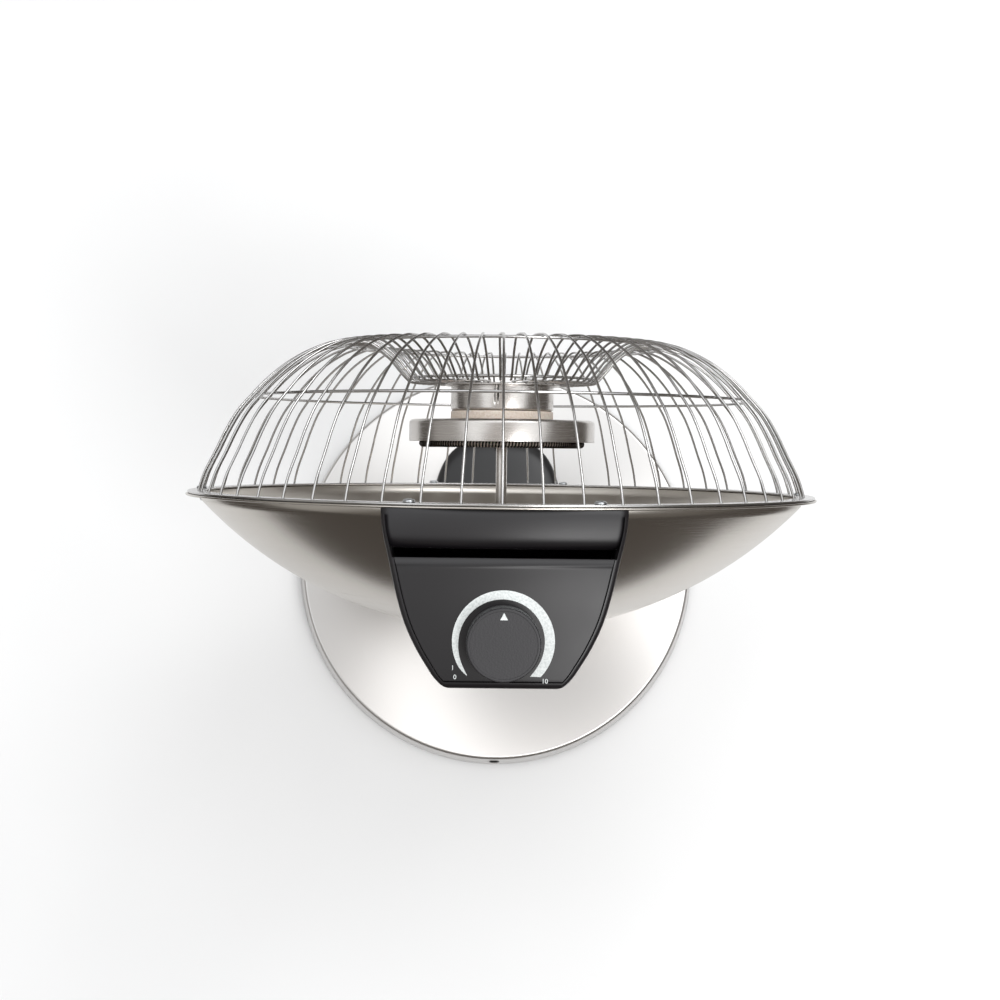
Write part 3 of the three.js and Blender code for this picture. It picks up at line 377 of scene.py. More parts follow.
def flatSheet(name, corners, height, material):
    mesh = bpy.data.meshes.new(name)
    (x0, y0), (x1, y1) = corners
    mesh.from_pydata([(x0, y0, height), (x1, y0, height), (x1, y1, height), (x0, y1, height)], [], [(0, 1, 2, 3)])
    mesh.materials.append(material)
    sheet = bpy.data.objects.new(name, mesh)
    bpy.context.scene.collection.objects.link(sheet)


def paleFloor():
    # white sheet, matt and hardly uneven, on the dark floor of the room
    material, tree, shader, place = newMaterial("seamlessPaper", {"Roughness": 0.9, "Specular IOR Level": 0.2})
    cloud = addNode(tree, "ShaderNodeTexNoise", values={"Scale": 3.0, "Detail": 2.0}, links={"Vector": place})
    applyPattern(tree, shader, cloud.outputs["Fac"], tint=((0.35, grey(0.86)), (0.65, grey(0.89))))
    flatSheet("paperSheet", ((-0.5, -0.56), (0.62, 0.375)), 0.0, material)
    dark = newMaterial("roomFloor", {"Base Color": linear("#4a443f"), "Roughness": 0.8})[0]
    flatSheet("roomFloor", ((-5, -5), (5, 5)), -0.002, dark)


def areaLight(name, place, size, power):
    data = bpy.data.lights.new(name, "AREA")
    data.shape = "RECTANGLE"
    data.size, data.size_y = size
    data.energy = power
    light = bpy.data.objects.new(name, data)
    light.location = place
    light.rotation_euler = (Vector(lightAim) - Vector(place)).to_track_quat("-Z", "Y").to_euler()
    bpy.context.scene.collection.objects.link(light)


def studioSky():
    # a broad bright ceiling over a dim brown room, with a grey wall on the left and a dark shape behind
    world = bpy.data.worlds.new("studio")
    bpy.context.scene.world = world
    world.use_nodes = True
    tree = world.node_tree
    sky = tree.nodes["Background"]
    place = addNode(tree, "ShaderNodeTexCoord")
    last = None
    for centre, inner, outer, level, tint in skyPatches:
        colour = tuple(level * part for part in linear(tint)[:3]) + (1,)
        toward = addNode(tree, "ShaderNodeVectorMath", {"operation": "DOT_PRODUCT"}, {1: Vector(centre).normalized()},
                         {0: place.outputs["Generated"]})
        patch = addNode(tree, "ShaderNodeMapRange", {"interpolation_type": "SMOOTHSTEP"},
                        {"From Min": math.cos(math.radians(outer)), "From Max": math.cos(math.radians(inner))},
                        {"Value": toward.outputs["Value"]})
        mix = addNode(tree, "ShaderNodeMix", {"data_type": "RGBA"}, links={"Factor": patch.outputs["Result"]})
        mix.inputs[6].default_value = (0.17, 0.155, 0.14, 1)  # the room round the patches
        mix.inputs[7].default_value = colour
        if last:
            tree.links.new(last, mix.inputs[6])
        last = mix.outputs[2]
    tree.links.new(last, sky.inputs["Color"])
    sky.inputs["Strength"].default_value = 1.0


lightAim = (0, 0, 0.3)  # metres, the middle of the heater
# direction, inner and outer half angle, brightness and tint of each patch: wall, ceiling, and the dark shape
# behind in two parts
skyPatches = (((1.0, -0.1, 0.05), 30, 62, 0.5, "#fffcf8"), ((-0.05, -0.12, 1.0), 44, 60, 1.6, "#fbfdff"),
              ((0.0, 0.342, 0.94), 14, 31, 0.55, "#fff8f2"), ((0.05, 0.7, 0.71), 9, 20, 0.2, "#fff6ee"))
paleFloor()
studioSky()
areaLight("softboxRear", (-0.62, 0.74, 2.0), (0.7, 0.7), 13)
areaLight("softboxFront", (-0.75, -1.1, 1.9), (0.9, 0.6), 9)
bpy.context.scene.view_settings.view_transform = "Standard"
print("light done")


# dish

gap = 0.3  # clearance between pieces that touch
dish = {"rim": 200.0, "lip": 190.5, "arc": 260.0, "neck": 4.5, "wall": 1.2, "flange": 0.9, "hem": 1.3, "hemWall": 1.1,
        "hole": 3.95}
dish["depth"] = dish["neck"] + dish["arc"] - math.sqrt(dish["arc"] ** 2 - dish["lip"] ** 2)
arcCentre = dish["arc"] - dish["depth"]


def bowlArc(radius, start, end, steps):
    a, b = math.asin(start / radius), math.asin(end / radius)
    return [(radius * math.sin(a + (b - a) * i / steps), arcCentre - radius * math.cos(a + (b - a) * i / steps))
            for i in range(steps + 1)]


def reflectorDish():
    front = -gap / 2
    inner, outer = dish["lip"] - dish["wall"], dish["rim"]
    inside = bowlArc(dish["arc"] - dish["wall"], dish["hole"], inner, 56)
    edge = rounded([(inner, inside[-1][1], 0), (inner, front, 0.9), (outer, front, 1.2),
                    (outer, front - dish["hem"], 0.6), (outer - dish["hemWall"], front - dish["hem"], 0.6),
                    (outer - dish["hemWall"], front - dish["flange"], 0.3),
                    (dish["lip"], front - dish["flange"], 1.2), (dish["lip"], -dish["neck"], 0)], closed=False)
    outside = bowlArc(dish["arc"], dish["lip"], dish["hole"], 56)
    profile = inside + edge[1:-1] + outside
    piece = lathe("reflectorDish", profile, bowlInside, toHead, 192, sharp=50)
    piece.data.materials.append(bowlSteel)
    firstOut = (len(inside) + 1) * 192
    for polygon in piece.data.polygons:
        polygon.material_index = 0 if polygon.index < firstOut else 1
    return piece


dishPiece = reflectorDish()
fitted(dishPiece, "head", "spun_steel", "reflector_dish")
print("dish done")


# guard

guard = {"wires": 56, "wire": 1.5, "ring": 1.8, "bandIn": 187.5, "bandOut": 199.0, "band": 1.3, "turn": 0.4,
         "dome": ((192.2, 1.0), (191.0, 5.5), (188.0, 13.9), (182.0, 25.9), (175.5, 39.3), (168.1, 51.7),
                  (159.4, 61.8), (148.9, 72.7), (135.7, 83.1), (120.1, 91.5), (107.5, 95.4)),
         "crest": ((100.0, 96.2), (93.0, 96.3), (87.5, 95.6), (83.0, 93.6), (78.9, 90.8), (75.2, 87.9), (72.0, 85.0),
                   (67.0, 79.0), (63.6, 75.0)),
         "twist": 1.5, "recess": (60.0, 71.4), "end": 31.0, "shortReach": 4.0, "plate": 37.3, "plateWall": 1.3}


def wireLine(inner):
    # centre line of one wire: from the rim over the dome and the crest, down the funnel and inwards; past the
    # crest it stands a little to one side
    points = guard["dome"] + guard["crest"]
    line = []
    for i in range(len(points) - 1):
        before, start, end, after = (Vector(points[max(min(i + k, len(points) - 1), 0)]) for k in (-1, 0, 1, 2))
        span = (end - start).length
        slopeIn = (end - before) * (span / (end - before).length)
        slopeOut = (after - start) * (span / (after - start).length)
        for k in range(5):
            t = k / 5
            line.append((2 * t ** 3 - 3 * t ** 2 + 1) * start + (t ** 3 - 2 * t ** 2 + t) * slopeIn
                        + (3 * t ** 2 - 2 * t ** 3) * end + (t ** 3 - t ** 2) * slopeOut)
    bend = rounded([(line[-1].x, line[-1].y, 0), (*guard["recess"], 3.0), (inner, guard["recess"][1], 0)],
                   closed=False, steps=6)
    flat = [(point.x, point.y) for point in line[:-1]] + bend
    crestEnd = guard["crest"][2][0]
    path, passed = [], False
    for r, z in flat:
        passed = passed or z > 92
        share = min(max((106.0 - r) / (106.0 - crestEnd), 0), 1) if passed else 0
        a = math.radians(guard["twist"]) * share * share * (3 - 2 * share)
        path.append((r * math.cos(a), -r * math.sin(a), z))
    return path


def radialTree():
    # sweeps the host's line with a round section and sets copies of it round the dish's axis
    tree, entry, out = newTree("radialWires", [("Copies", "NodeSocketInt"), ("First", "NodeSocketFloat"),
                                               ("Radius", "NodeSocketFloat"), ("Material", "NodeSocketMaterial")])
    line = addNode(tree, "GeometryNodeMeshToCurve", links={"Mesh": entry.outputs["Geometry"]})
    section = addNode(tree, "GeometryNodeCurvePrimitiveCircle", values={"Resolution": 12},
                      links={"Radius": entry.outputs["Radius"]})
    wire = addNode(tree, "GeometryNodeCurveToMesh", values={"Fill Caps": True},
                   links={"Curve": line.outputs["Curve"], "Profile Curve": section.outputs["Curve"]})
    points = addNode(tree, "GeometryNodePoints", links={"Count": entry.outputs["Copies"]})
    index = addNode(tree, "GeometryNodeInputIndex")
    step = addNode(tree, "ShaderNodeMath", {"operation": "DIVIDE"}, {0: math.tau}, {1: entry.outputs["Copies"]})
    turn = addNode(tree, "ShaderNodeMath", {"operation": "MULTIPLY_ADD"}, links={
        0: index.outputs["Index"], 1: step.outputs["Value"], 2: entry.outputs["First"]})
    angles = addNode(tree, "ShaderNodeCombineXYZ", links={"Z": turn.outputs["Value"]})
    copies = addNode(tree, "GeometryNodeInstanceOnPoints", links={
        "Points": points.outputs["Points"], "Instance": wire.outputs["Mesh"], "Rotation": angles.outputs["Vector"]})
    real = addNode(tree, "GeometryNodeRealizeInstances", links={"Geometry": copies.outputs["Instances"]})
    painted = addNode(tree, "GeometryNodeSetMaterial", links={
        "Geometry": real.outputs["Geometry"], "Material": entry.outputs["Material"]})
    tree.links.new(painted.outputs["Geometry"], out.inputs["Geometry"])
    return tree


def radialCopies(name, line, first):
    # every second wire of the guard, from the angle of the first one
    mesh = bpy.data.meshes.new(name)
    mesh.from_pydata([(x * mm, y * mm, z * mm) for x, y, z in line], [(i, i + 1) for i in range(len(line) - 1)], [])
    piece = bpy.data.objects.new(name, mesh)
    bpy.context.scene.collection.objects.link(piece)
    modifier = piece.modifiers.new("wires", "NODES")
    modifier.node_group = radial
    setInputs(modifier, {"Copies": guard["wires"] // 2, "First": first, "Radius": guard["wire"] / 2 * mm,
                         "Material": wireMetal})
    bake(piece)
    piece.data.transform(toHead)
    return piece


def joined(name, pieces):
    # one plain mesh from several
    work = bmesh.new()
    materials = []
    for piece in pieces:
        count = len(work.faces)
        work.from_mesh(piece.data)
        work.faces.ensure_lookup_table()
        for material in piece.data.materials:
            if material not in materials:
                materials.append(material)
        order = [materials.index(material) for material in piece.data.materials]
        for face in work.faces[count:]:
            face.material_index = order[face.material_index]
    mesh = bpy.data.meshes.new(name)
    work.to_mesh(mesh)
    work.free()
    for material in materials:
        mesh.materials.append(material)
    whole = bpy.data.objects.new(name, mesh)
    bpy.context.scene.collection.objects.link(whole)
    for piece in pieces:
        bpy.data.objects.remove(piece)
    return whole


def smoothShaded(piece, sharp):
    for polygon in piece.data.polygons:
        polygon.use_smooth = True
    piece.data.set_sharp_from_angle(angle=math.radians(sharp))
    return piece


radial = radialTree()
wireStep = math.tau / guard["wires"]
firstWire = math.pi / 2 - math.radians(guard["turn"])
longWires = radialCopies("longWires", wireLine(guard["end"]), firstWire)
shortWires = radialCopies("shortWires", wireLine(guard["recess"][0] - guard["shortReach"]), firstWire + wireStep)
band = lathe("guardBand", rounded([(guard["bandIn"], gap / 3, 0.3), (guard["bandOut"], gap / 3, 0.5),
                                   (guard["bandOut"], gap / 3 + guard["band"], 0.5),
                                   (guard["bandIn"], gap / 3 + guard["band"], 0.5)]), wireMetal, toHead, 192)
band.data.uv_layers.remove(band.data.uv_layers["spin"])
guardWires = smoothShaded(joined("guardWires", [longWires, shortWires, band]), 40)
fitted(guardWires, "head", "plated_wire", "guard_cage")


def guardRing(name, node, radius, height):
    # round wire ring that the guard's wires are welded to, on their inner side
    half = guard["ring"] / 2
    section = [(radius + half * math.cos(math.tau * k / 14), height + half * math.sin(math.tau * k / 14))
               for k in range(14)]
    ring = lathe(name, section, wireMetal, toHead, 192, sharp=60)
    fitted(ring, "head", "plated_wire", node)


guardRing("guardMidRing", "guard_mid_ring", 158.2, 60.7)
guardRing("guardCrestRing", "guard_crest_ring", 102.3, 94.3)
guardRing("guardRecessRing", "guard_recess_ring", 60.0, 73.7)

plateTop = guard["recess"][1] - guard["wire"] / 2 - 0.1
centrePlate = lathe("guardCentrePlate", rounded([
    (0, plateTop - guard["plateWall"], 0), (guard["plate"], plateTop - guard["plateWall"], 0.4),
    (guard["plate"], plateTop, 0.7), (0, plateTop, 0)], closed=False), canSteel, toHead, 96)
fitted(centrePlate, "head", "plated_wire", "guard_centre_plate")
print("guard done")


# rim screws

screw = {"circle": 193.4, "angles": (15, 90, 165, 195, 270, 345), "head": 3.4, "rise": 2.0, "shank": 1.7, "tip": -6.6,
         "recess": 1.9, "slot": 0.55, "depth": 1.3}


def screwShape():
    # pan head with a cross recess, on a plain shank
    seat = gap / 3 + guard["band"]
    top = seat + screw["rise"]
    profile = [(0, screw["tip"])] + rounded([
        (0.7, screw["tip"], 0), (screw["shank"], screw["tip"] + 1.9, 0.4), (screw["shank"], seat, 0.1),
        (screw["head"], seat, 0.3), (screw["head"] * 0.93, top - 0.6, 1.1), (1.2, top, 2.0)], closed=False, steps=4)
    body = lathe("screwShape", profile + [(0, top)], zincPlate, segments=28, sharp=50)
    reach, half, low = screw["recess"], screw["slot"], top - screw["depth"]
    arms = []
    for corner in range(4):
        turn = Matrix.Rotation(math.pi / 2 * corner, 2)
        arms += [turn @ Vector(point) for point in ((reach, -half), (reach, half), (half, half))]
    wide = [(p.x, p.y, top + 1) for p in arms]
    narrow = [(p.x * 0.55, p.y * 0.75, low) for p in arms]
    cutter = loft("crossCutter", [narrow, wide], zincPlate)
    body.data.uv_layers.remove(body.data.uv_layers["spin"])
    return carved(body, [cutter])


def carved(piece, cutters):
    # the piece less its cutters, as a plain mesh
    for cutter in cutters:
        modifier = piece.modifiers.new("carve", "BOOLEAN")
        modifier.operation = "DIFFERENCE"
        modifier.solver = "EXACT"
        modifier.object = cutter
        modifier.use_hole_tolerant = True
    bake(piece)
    for cutter in cutters:
        bpy.data.objects.remove(cutter)
    return piece


def scatterTree():
    # sets a shape at each point of the host, turned by a seeded random angle about Z
    tree, entry, out = newTree("shapeAtPoints", [("Shape", "NodeSocketObject"), ("Seed", "NodeSocketInt"),
                                                 ("Spread", "NodeSocketFloat"), ("Material", "NodeSocketMaterial")])
    shape = addNode(tree, "GeometryNodeObjectInfo", {"transform_space": "ORIGINAL"},
                    links={"Object": entry.outputs["Shape"]})
    turn = addNode(tree, "FunctionNodeRandomValue", {"data_type": "FLOAT"}, {"Min": 0.0},
                   {"Max": entry.outputs["Spread"], "Seed": entry.outputs["Seed"]})
    angles = addNode(tree, "ShaderNodeCombineXYZ", links={"Z": turn.outputs["Value"]})
    copies = addNode(tree, "GeometryNodeInstanceOnPoints", links={
        "Points": entry.outputs["Geometry"], "Instance": shape.outputs["Geometry"],
        "Rotation": angles.outputs["Vector"]})
    real = addNode(tree, "GeometryNodeRealizeInstances", links={"Geometry": copies.outputs["Instances"]})
    painted = addNode(tree, "GeometryNodeSetMaterial", links={
        "Geometry": real.outputs["Geometry"], "Material": entry.outputs["Material"]})
    tree.links.new(painted.outputs["Geometry"], out.inputs["Geometry"])
    return tree


def scattered(name, shape, places, spread, material, place=toWorld, sharp=40):
    mesh = bpy.data.meshes.new(name)
    mesh.from_pydata([Vector(point) * mm for point in places], [], [])
    piece = bpy.data.objects.new(name, mesh)
    bpy.context.scene.collection.objects.link(piece)
    modifier = piece.modifiers.new("copies", "NODES")
    modifier.node_group = atPoints
    setInputs(modifier, {"Shape": shape, "Seed": 7, "Spread": spread, "Material": material})
    bake(piece)
    bpy.data.objects.remove(shape)
    piece.data.transform(place)
    return smoothShaded(piece, sharp)


atPoints = scatterTree()
screwPlaces = [(screw["circle"] * math.sin(math.radians(a)), screw["circle"] * math.cos(math.radians(a)), 0)
               for a in screw["angles"]]
rimScrews = scattered("rimScrews", screwShape(), screwPlaces, math.tau, zincPlate, toHead)
fitted(rimScrews, "head", "fixings", *[f"rim_screw_{i + 1}" for i in range(6)])
print("screws done")


# element

element = {"post": 3.55, "postEnd": -98.35, "postTop": 60.6, "former": 47.9, "formerLow": 30.2, "formerHigh": 35.8,
           "neck": 39.9, "cap": 59.8, "capLow": 33.6, "capTop": 47.6, "capWall": 1.0,
           "spacer": 33.0, "spacerLow": 47.9, "spacerTop": 53.2, "cup": 33.1, "cupLow": 53.5, "cupTop": 69.2,
           "cupWall": 0.8, "nut": 7.0}
coil = {"circle": 50.8, "radius": 2.15, "wire": 1.05, "height": 32.4, "turns": 158, "gap": 12.0, "core": 1.45}


def hexNut(name, bore, radius, low, high, place, material):
    # six-sided nut with chamfered corners round a hole
    outline = []
    for k in range(6):
        a, b = math.tau * k / 6, math.tau * (k + 1) / 6
        outline += [(radius * (math.cos(a) * (1 - t) + math.cos(b) * t),
                     radius * (math.sin(a) * (1 - t) + math.sin(b) * t)) for t in (0, 0.25, 0.5, 0.75)]
    chamfer = radius * 0.91
    rings = []
    for height, share in ((low, 0.0), (low + 0.45, 1.0), (high - 0.45, 1.0), (high, 0.0)):
        ring = []
        for x, y in outline:
            length = math.hypot(x, y)
            limit = chamfer if share == 0 else radius
            scale = min(1, limit / length)
            ring.append((x * scale, y * scale, height))
        rings.append(ring)
    body = loft(name, rings, material, sharp=25)
    hole = lathe("bore", [(0, low - 1), (bore, low - 1), (bore, high + 1), (0, high + 1)], material, segments=32)
    carved(body, [hole])
    body.data.transform(place)
    return body


post = lathe("elementPost", rounded([
    (0, element["postEnd"], 0), (element["post"], element["postEnd"], 0.5),
    (element["post"], element["postTop"], 0.6), (0, element["postTop"], 0)], closed=False), canSteel, toHead, 48)
fitted(post, "head", "plated_wire", "element_post")

hole = element["post"] + 0.4
former = lathe("formerBody", rounded([
    (hole, element["formerLow"], 0.4), (element["former"], element["formerLow"], 0.8),
    (element["former"], element["formerHigh"] - 0.4, 0.8), (element["neck"], element["formerHigh"] + 2.2, 2.0),
    (element["neck"], 46.3, 0.5), (hole, 46.3, 0.3)]), ceramicBody, toHead, 96, sharp=60)
core = lathe("coilCore", [(coil["circle"] + coil["core"] * math.cos(math.tau * k / 16),
                           coil["height"] + coil["core"] * math.sin(math.tau * k / 16)) for k in range(16)],
             ceramicBody, toHead, 160, sharp=60)
fitted(joined("coilFormer", [former, core]), "head", "ceramic", "coil_former")

cap = lathe("elementCap", rounded([
    (hole, element["capTop"] - element["capWall"], 0), (element["cap"] - 1.0, element["capTop"] - 1.0, 1.6),
    (element["cap"] - 1.0, element["capLow"], 0.2), (element["cap"], element["capLow"], 0.3),
    (element["cap"], element["capTop"], 2.6), (hole, element["capTop"], 0)], steps=7), canSteel, toHead, 160)
fitted(cap, "head", "brushed_steel", "element_cap")

spacer = lathe("ceramicSpacer", rounded([
    (hole, element["spacerLow"], 0.2), (element["spacer"], element["spacerLow"], 0.7),
    (element["spacer"], element["spacerTop"], 0.7), (hole, element["spacerTop"], 0.2)]),
    ceramicBody, toHead, 112, sharp=60)
fitted(spacer, "head", "ceramic", "ceramic_spacer")


def elementCup():
    # drawn can, open in front, with pairs of locking slots near its front edge
    inner = element["cup"] - element["cupWall"]
    cup = lathe("elementCup", rounded([
        (hole, element["cupLow"], 0), (element["cup"], element["cupLow"], 1.8),
        (element["cup"], element["cupTop"], 0.25),
        (inner, element["cupTop"], 0.25), (inner, element["cupLow"] + element["cupWall"], 1.2),
        (hole, element["cupLow"] + element["cupWall"], 0)], steps=6), canSteel, toWorld, 144)
    slots = []
    for angle in (83.0, 203.0, 323.0):
        for side in (-1, 1):
            at = math.radians(angle + side * 1.7)
            across = Vector((-math.sin(at), math.cos(at)))
            out = Vector((math.cos(at), math.sin(at)))
            corners = [out * r + across * w for r, w in ((inner - 2, -0.25), (element["cup"] + 2, -0.25),
                                                         (element["cup"] + 2, 0.25), (inner - 2, 0.25))]
            slots.append(loft("slotCutter", [[(p.x, p.y, z) for p in corners]
                                             for z in (element["cupTop"] - 9.5, element["cupTop"] + 1)], canSteel))
    carved(cup, slots)
    cup.data.transform(toHead)
    return cup


fitted(elementCup(), "head", "brushed_steel", "element_cup")
fitted(hexNut("elementNut", hole, element["nut"], 54.6, 58.6, toHead, zincPlate), "head", "fixings", "element_nut")
fitted(hexNut("postNut", hole, element["nut"], -94.65, -90.65, toHead, zincPlate), "head", "fixings", "post_nut")


def coilTree():
    # a helix of wire laid round a circle, with a gap between its two ends
    tree, entry, out = newTree("coilRound", [
        ("Circle", "NodeSocketFloat"), ("Turn Radius", "NodeSocketFloat"), ("Height", "NodeSocketFloat"),
        ("Turns", "NodeSocketFloat"), ("Gap", "NodeSocketFloat"), ("Wire", "NodeSocketFloat"),
        ("Steps", "NodeSocketInt"), ("Material", "NodeSocketMaterial")])
    line = addNode(tree, "GeometryNodeMeshLine", {"mode": "OFFSET"}, {"Offset": (mm, 0, 0)},
                   {"Count": entry.outputs["Steps"]})
    index = addNode(tree, "GeometryNodeInputIndex")

    steps = (("last", "SUBTRACT", "Steps", 1), ("share", "DIVIDE", "index", "last"),
             ("sweep", "SUBTRACT", math.tau, "Gap"), ("start", "MULTIPLY_ADD", "Gap", 0.5, -math.pi / 2),
             ("around", "MULTIPLY_ADD", "sweep", "share", "start"), ("turned", "MULTIPLY", "share", "Turns"),
             ("curl", "MULTIPLY", "turned", math.tau), ("out", "COSINE", "curl"), ("up", "SINE", "curl"),
             ("radius", "MULTIPLY_ADD", "out", "Turn Radius", "Circle"),
             ("height", "MULTIPLY_ADD", "up", "Turn Radius", "Height"), ("east", "COSINE", "around"),
             ("north", "SINE", "around"), ("x", "MULTIPLY", "radius", "east"), ("y", "MULTIPLY", "radius", "north"))
    values = {socket.name: socket for socket in entry.outputs if socket.name}
    values["index"] = index.outputs["Index"]
    for result, operation, *terms in steps:
        numbers = {i: term for i, term in enumerate(terms) if not isinstance(term, str)}
        fed = {i: values[term] for i, term in enumerate(terms) if isinstance(term, str)}
        values[result] = addNode(tree, "ShaderNodeMath", {"operation": operation}, numbers, fed).outputs["Value"]
    spot = addNode(tree, "ShaderNodeCombineXYZ", links={"X": values["x"], "Y": values["y"], "Z": values["height"]})
    moved = addNode(tree, "GeometryNodeSetPosition", links={
        "Geometry": line.outputs["Mesh"], "Position": spot.outputs["Vector"]})
    path = addNode(tree, "GeometryNodeMeshToCurve", links={"Mesh": moved.outputs["Geometry"]})
    section = addNode(tree, "GeometryNodeCurvePrimitiveCircle", values={"Resolution": 6},
                      links={"Radius": entry.outputs["Wire"]})
    wire = addNode(tree, "GeometryNodeCurveToMesh", values={"Fill Caps": True},
                   links={"Curve": path.outputs["Curve"], "Profile Curve": section.outputs["Curve"]})
    real = addNode(tree, "GeometryNodeRealizeInstances", links={"Geometry": wire.outputs["Mesh"]})
    painted = addNode(tree, "GeometryNodeSetMaterial", links={
        "Geometry": real.outputs["Geometry"], "Material": entry.outputs["Material"]})
    tree.links.new(painted.outputs["Geometry"], out.inputs["Geometry"])
    return tree


def heatingCoil():
    piece = bpy.data.objects.new("heatingCoil", bpy.data.meshes.new("heatingCoil"))
    bpy.context.scene.collection.objects.link(piece)
    modifier = piece.modifiers.new("coil", "NODES")
    modifier.node_group = coilTree()
    setInputs(modifier, {"Circle": coil["circle"] * mm, "Turn Radius": coil["radius"] * mm,
                         "Height": coil["height"] * mm, "Turns": float(coil["turns"]),
                         "Gap": math.radians(coil["gap"]), "Wire": coil["wire"] / 2 * mm,
                         "Steps": coil["turns"] * 11 + 1, "Material": coilMetal})
    bake(piece)
    piece.data.transform(toHead)
    return smoothShaded(piece, 60)


fitted(heatingCoil(), "head", "coil_alloy", "heating_coil")
print("element done")


# control box

box = {"panel": 195.0, "front": 4.2, "rear": 94.5, "bottom": -35.0, "wall": 2.5, "lean": 0.145, "hood": 17.5,
       "groove": 5.2, "inset": 3.3, "plate": 2.4, "edge": 3.2,
       "sides": ((1.5, 64.7), (4.2, 64.6), (13.0, 63.7), (27.0, 60.4), (46.0, 56.1), (61.0, 51.6), (74.0, 45.6),
                 (84.0, 39.6), (88.5, 36.6), (92.0, 33.4), (93.8, 31.0), (94.5, 28.5)),
       "face": ((-35.0, 31.0), (0.0, 32.0), (60.0, 42.0), (121.0, 58.0), (164.0, 67.5), (200.0, 67.5))}


def softMin(a, b, blendWidth=2.0):
    return min(a, b) - blendWidth * math.log1p(math.exp(-abs(a - b) / blendWidth))


def boxRing(height, inset, front, depthSteps):
    # one level of the box: x and z' of its outline at a height up the rim
    shift = -box["lean"] * (box["panel"] - height)
    faceHalf = along(box["face"], height)
    right = []
    for i in range(depthSteps + 1):
        t = i / depthSteps
        depth = front + (box["rear"] - inset - front) * (1 - (1 - t) ** 1.5)
        half = softMin(along(box["sides"], min(depth, box["rear"])), faceHalf)
        right.append((max(half - inset, 1), height, shift - depth))
    return right + [(-x, y, z) for x, y, z in reversed(right)]


def boxSkin(name, levels, front, steps):
    return loft(name, [boxRing(height, inset, front, steps) for height, inset in levels], blackPlastic, sharp=40)


def bowlCutter():
    # everything in front of the bowl's back, with a hair of room
    radius, mouth = dish["arc"] + gap, dish["lip"] + gap
    arc = bowlArc(radius, 0.0, mouth, 48)
    return lathe("bowlCutter", [(0, arc[0][1])] + arc[1:] + [(mouth, 60), (0, 60)], blackPlastic, segments=192)


def controlBox():
    top, low = box["panel"], box["bottom"]
    edge = box["edge"]
    levels = [(top - edge * (1 - math.sin(math.radians(a))), edge * (1 - math.cos(math.radians(a))))
              for a in range(90, -1, -15)]
    levels += [(top - edge - (top - edge - low - 2) * i / 34, 0.0) for i in range(1, 35)]
    levels += [(low + 1.0, 0.35), (low + 0.3, 1.0), (low, 2.0)]
    skin = boxSkin("controlBox", levels, box["front"], 26)
    inner = [(top - 5.0 - (top - 5.0 - low + 6) * i / 12, box["wall"]) for i in range(13)]
    cavity = boxSkin("cavity", inner, box["front"] + box["wall"], 14)
    groove = loft("grooveCutter", [grooveRing(height) for height in (top - 9.0, top + 20)], blackPlastic)
    seat = loft("seat", [panelRing(height, box["inset"] - gap) for height in (top - box["plate"] - gap, top + 20)],
                blackPlastic)
    slot = loft("standSlot", [[(u, v, z) for u, v in ((-17.2, -120), (17.2, -120), (17.2, -0.6), (-17.2, -0.6))]
                              for z in (-200, -40)], blackPlastic)
    carved(skin, [cavity, bowlCutter(), groove, seat, slot])
    skin.data.transform(toHead)
    return smoothShaded(skin, 40)


def grooveRing(height):
    # outline of the pocket under the hood and behind it, inside the box's side walls
    depths = [0.0] + [box["front"] + (box["hood"] + box["groove"]) * i / 10 for i in range(11)]
    right = [(along(box["sides"], depth) - 2.2, height, -depth) for depth in depths]
    return right + [(-x, y, z) for x, y, z in reversed(right)]


def panelRing(height, inset, frontInset=0.0):
    # outline of the flat dial panel, behind the groove
    front = box["front"] + box["hood"] + box["groove"] + frontInset
    right = []
    for i in range(25):
        t = i / 24
        depth = front + (box["rear"] - inset - front) * (1 - (1 - t) ** 1.5)
        right.append((along(box["sides"], depth) - inset, height, -depth))
    return right + [(-x, y, z) for x, y, z in reversed(right)]


def hoodBand():
    # band across the top of the box, arched like the rim it is tucked under, and rolled down into the groove
    crown = ((1.5, 197.2), (4.0, 197.9), (8.0, 198.3), (13.0, 198.3), (17.0, 197.8), (19.5, 196.6), (21.2, 194.6),
             (22.3, 191.4))
    rings = []
    for i in range(41):
        depth = 1.5 + 20.8 * i / 40
        top = along(crown, depth)
        half = along(box["sides"], depth)
        arch = [half * math.sin(math.pi / 2 * k / 20) for k in range(20, -1, -1)]
        side = [(half, 182.0)] + [(x, top - x * x / 640 - 2.4 * max(0, (x - half + 4) / 4) ** 2) for x in arch]
        rings.append([(x, y, -depth) for x, y in side] + [(-x, y, -depth) for x, y in reversed(side[:-1])])
    return loft("hoodBand", rings, blackPlastic, toHead, sharp=60)


def dialPanel():
    top, low = box["panel"], box["panel"] - box["plate"]
    levels = ((low, 0.0, 0.0), (top - 1.5, 0.0, 0.0), (top - 0.8, 0.05, 1.0), (top - 0.35, 0.12, 2.4),
              (top - 0.12, 0.3, 3.8), (top, 0.7, 5.4))
    rings = [panelRing(height, box["inset"] + inset, front) for height, inset, front in levels]
    return loft("dialPanel", rings, panelPlastic, toHead, sharp=50)


fitted(controlBox(), "head", "black_plastic", "control_housing")
fitted(hoodBand(), "head", "black_plastic", "control_housing")
fitted(dialPanel(), "head", "black_plastic", "control_fascia")
print("control box done")


# dial and knob

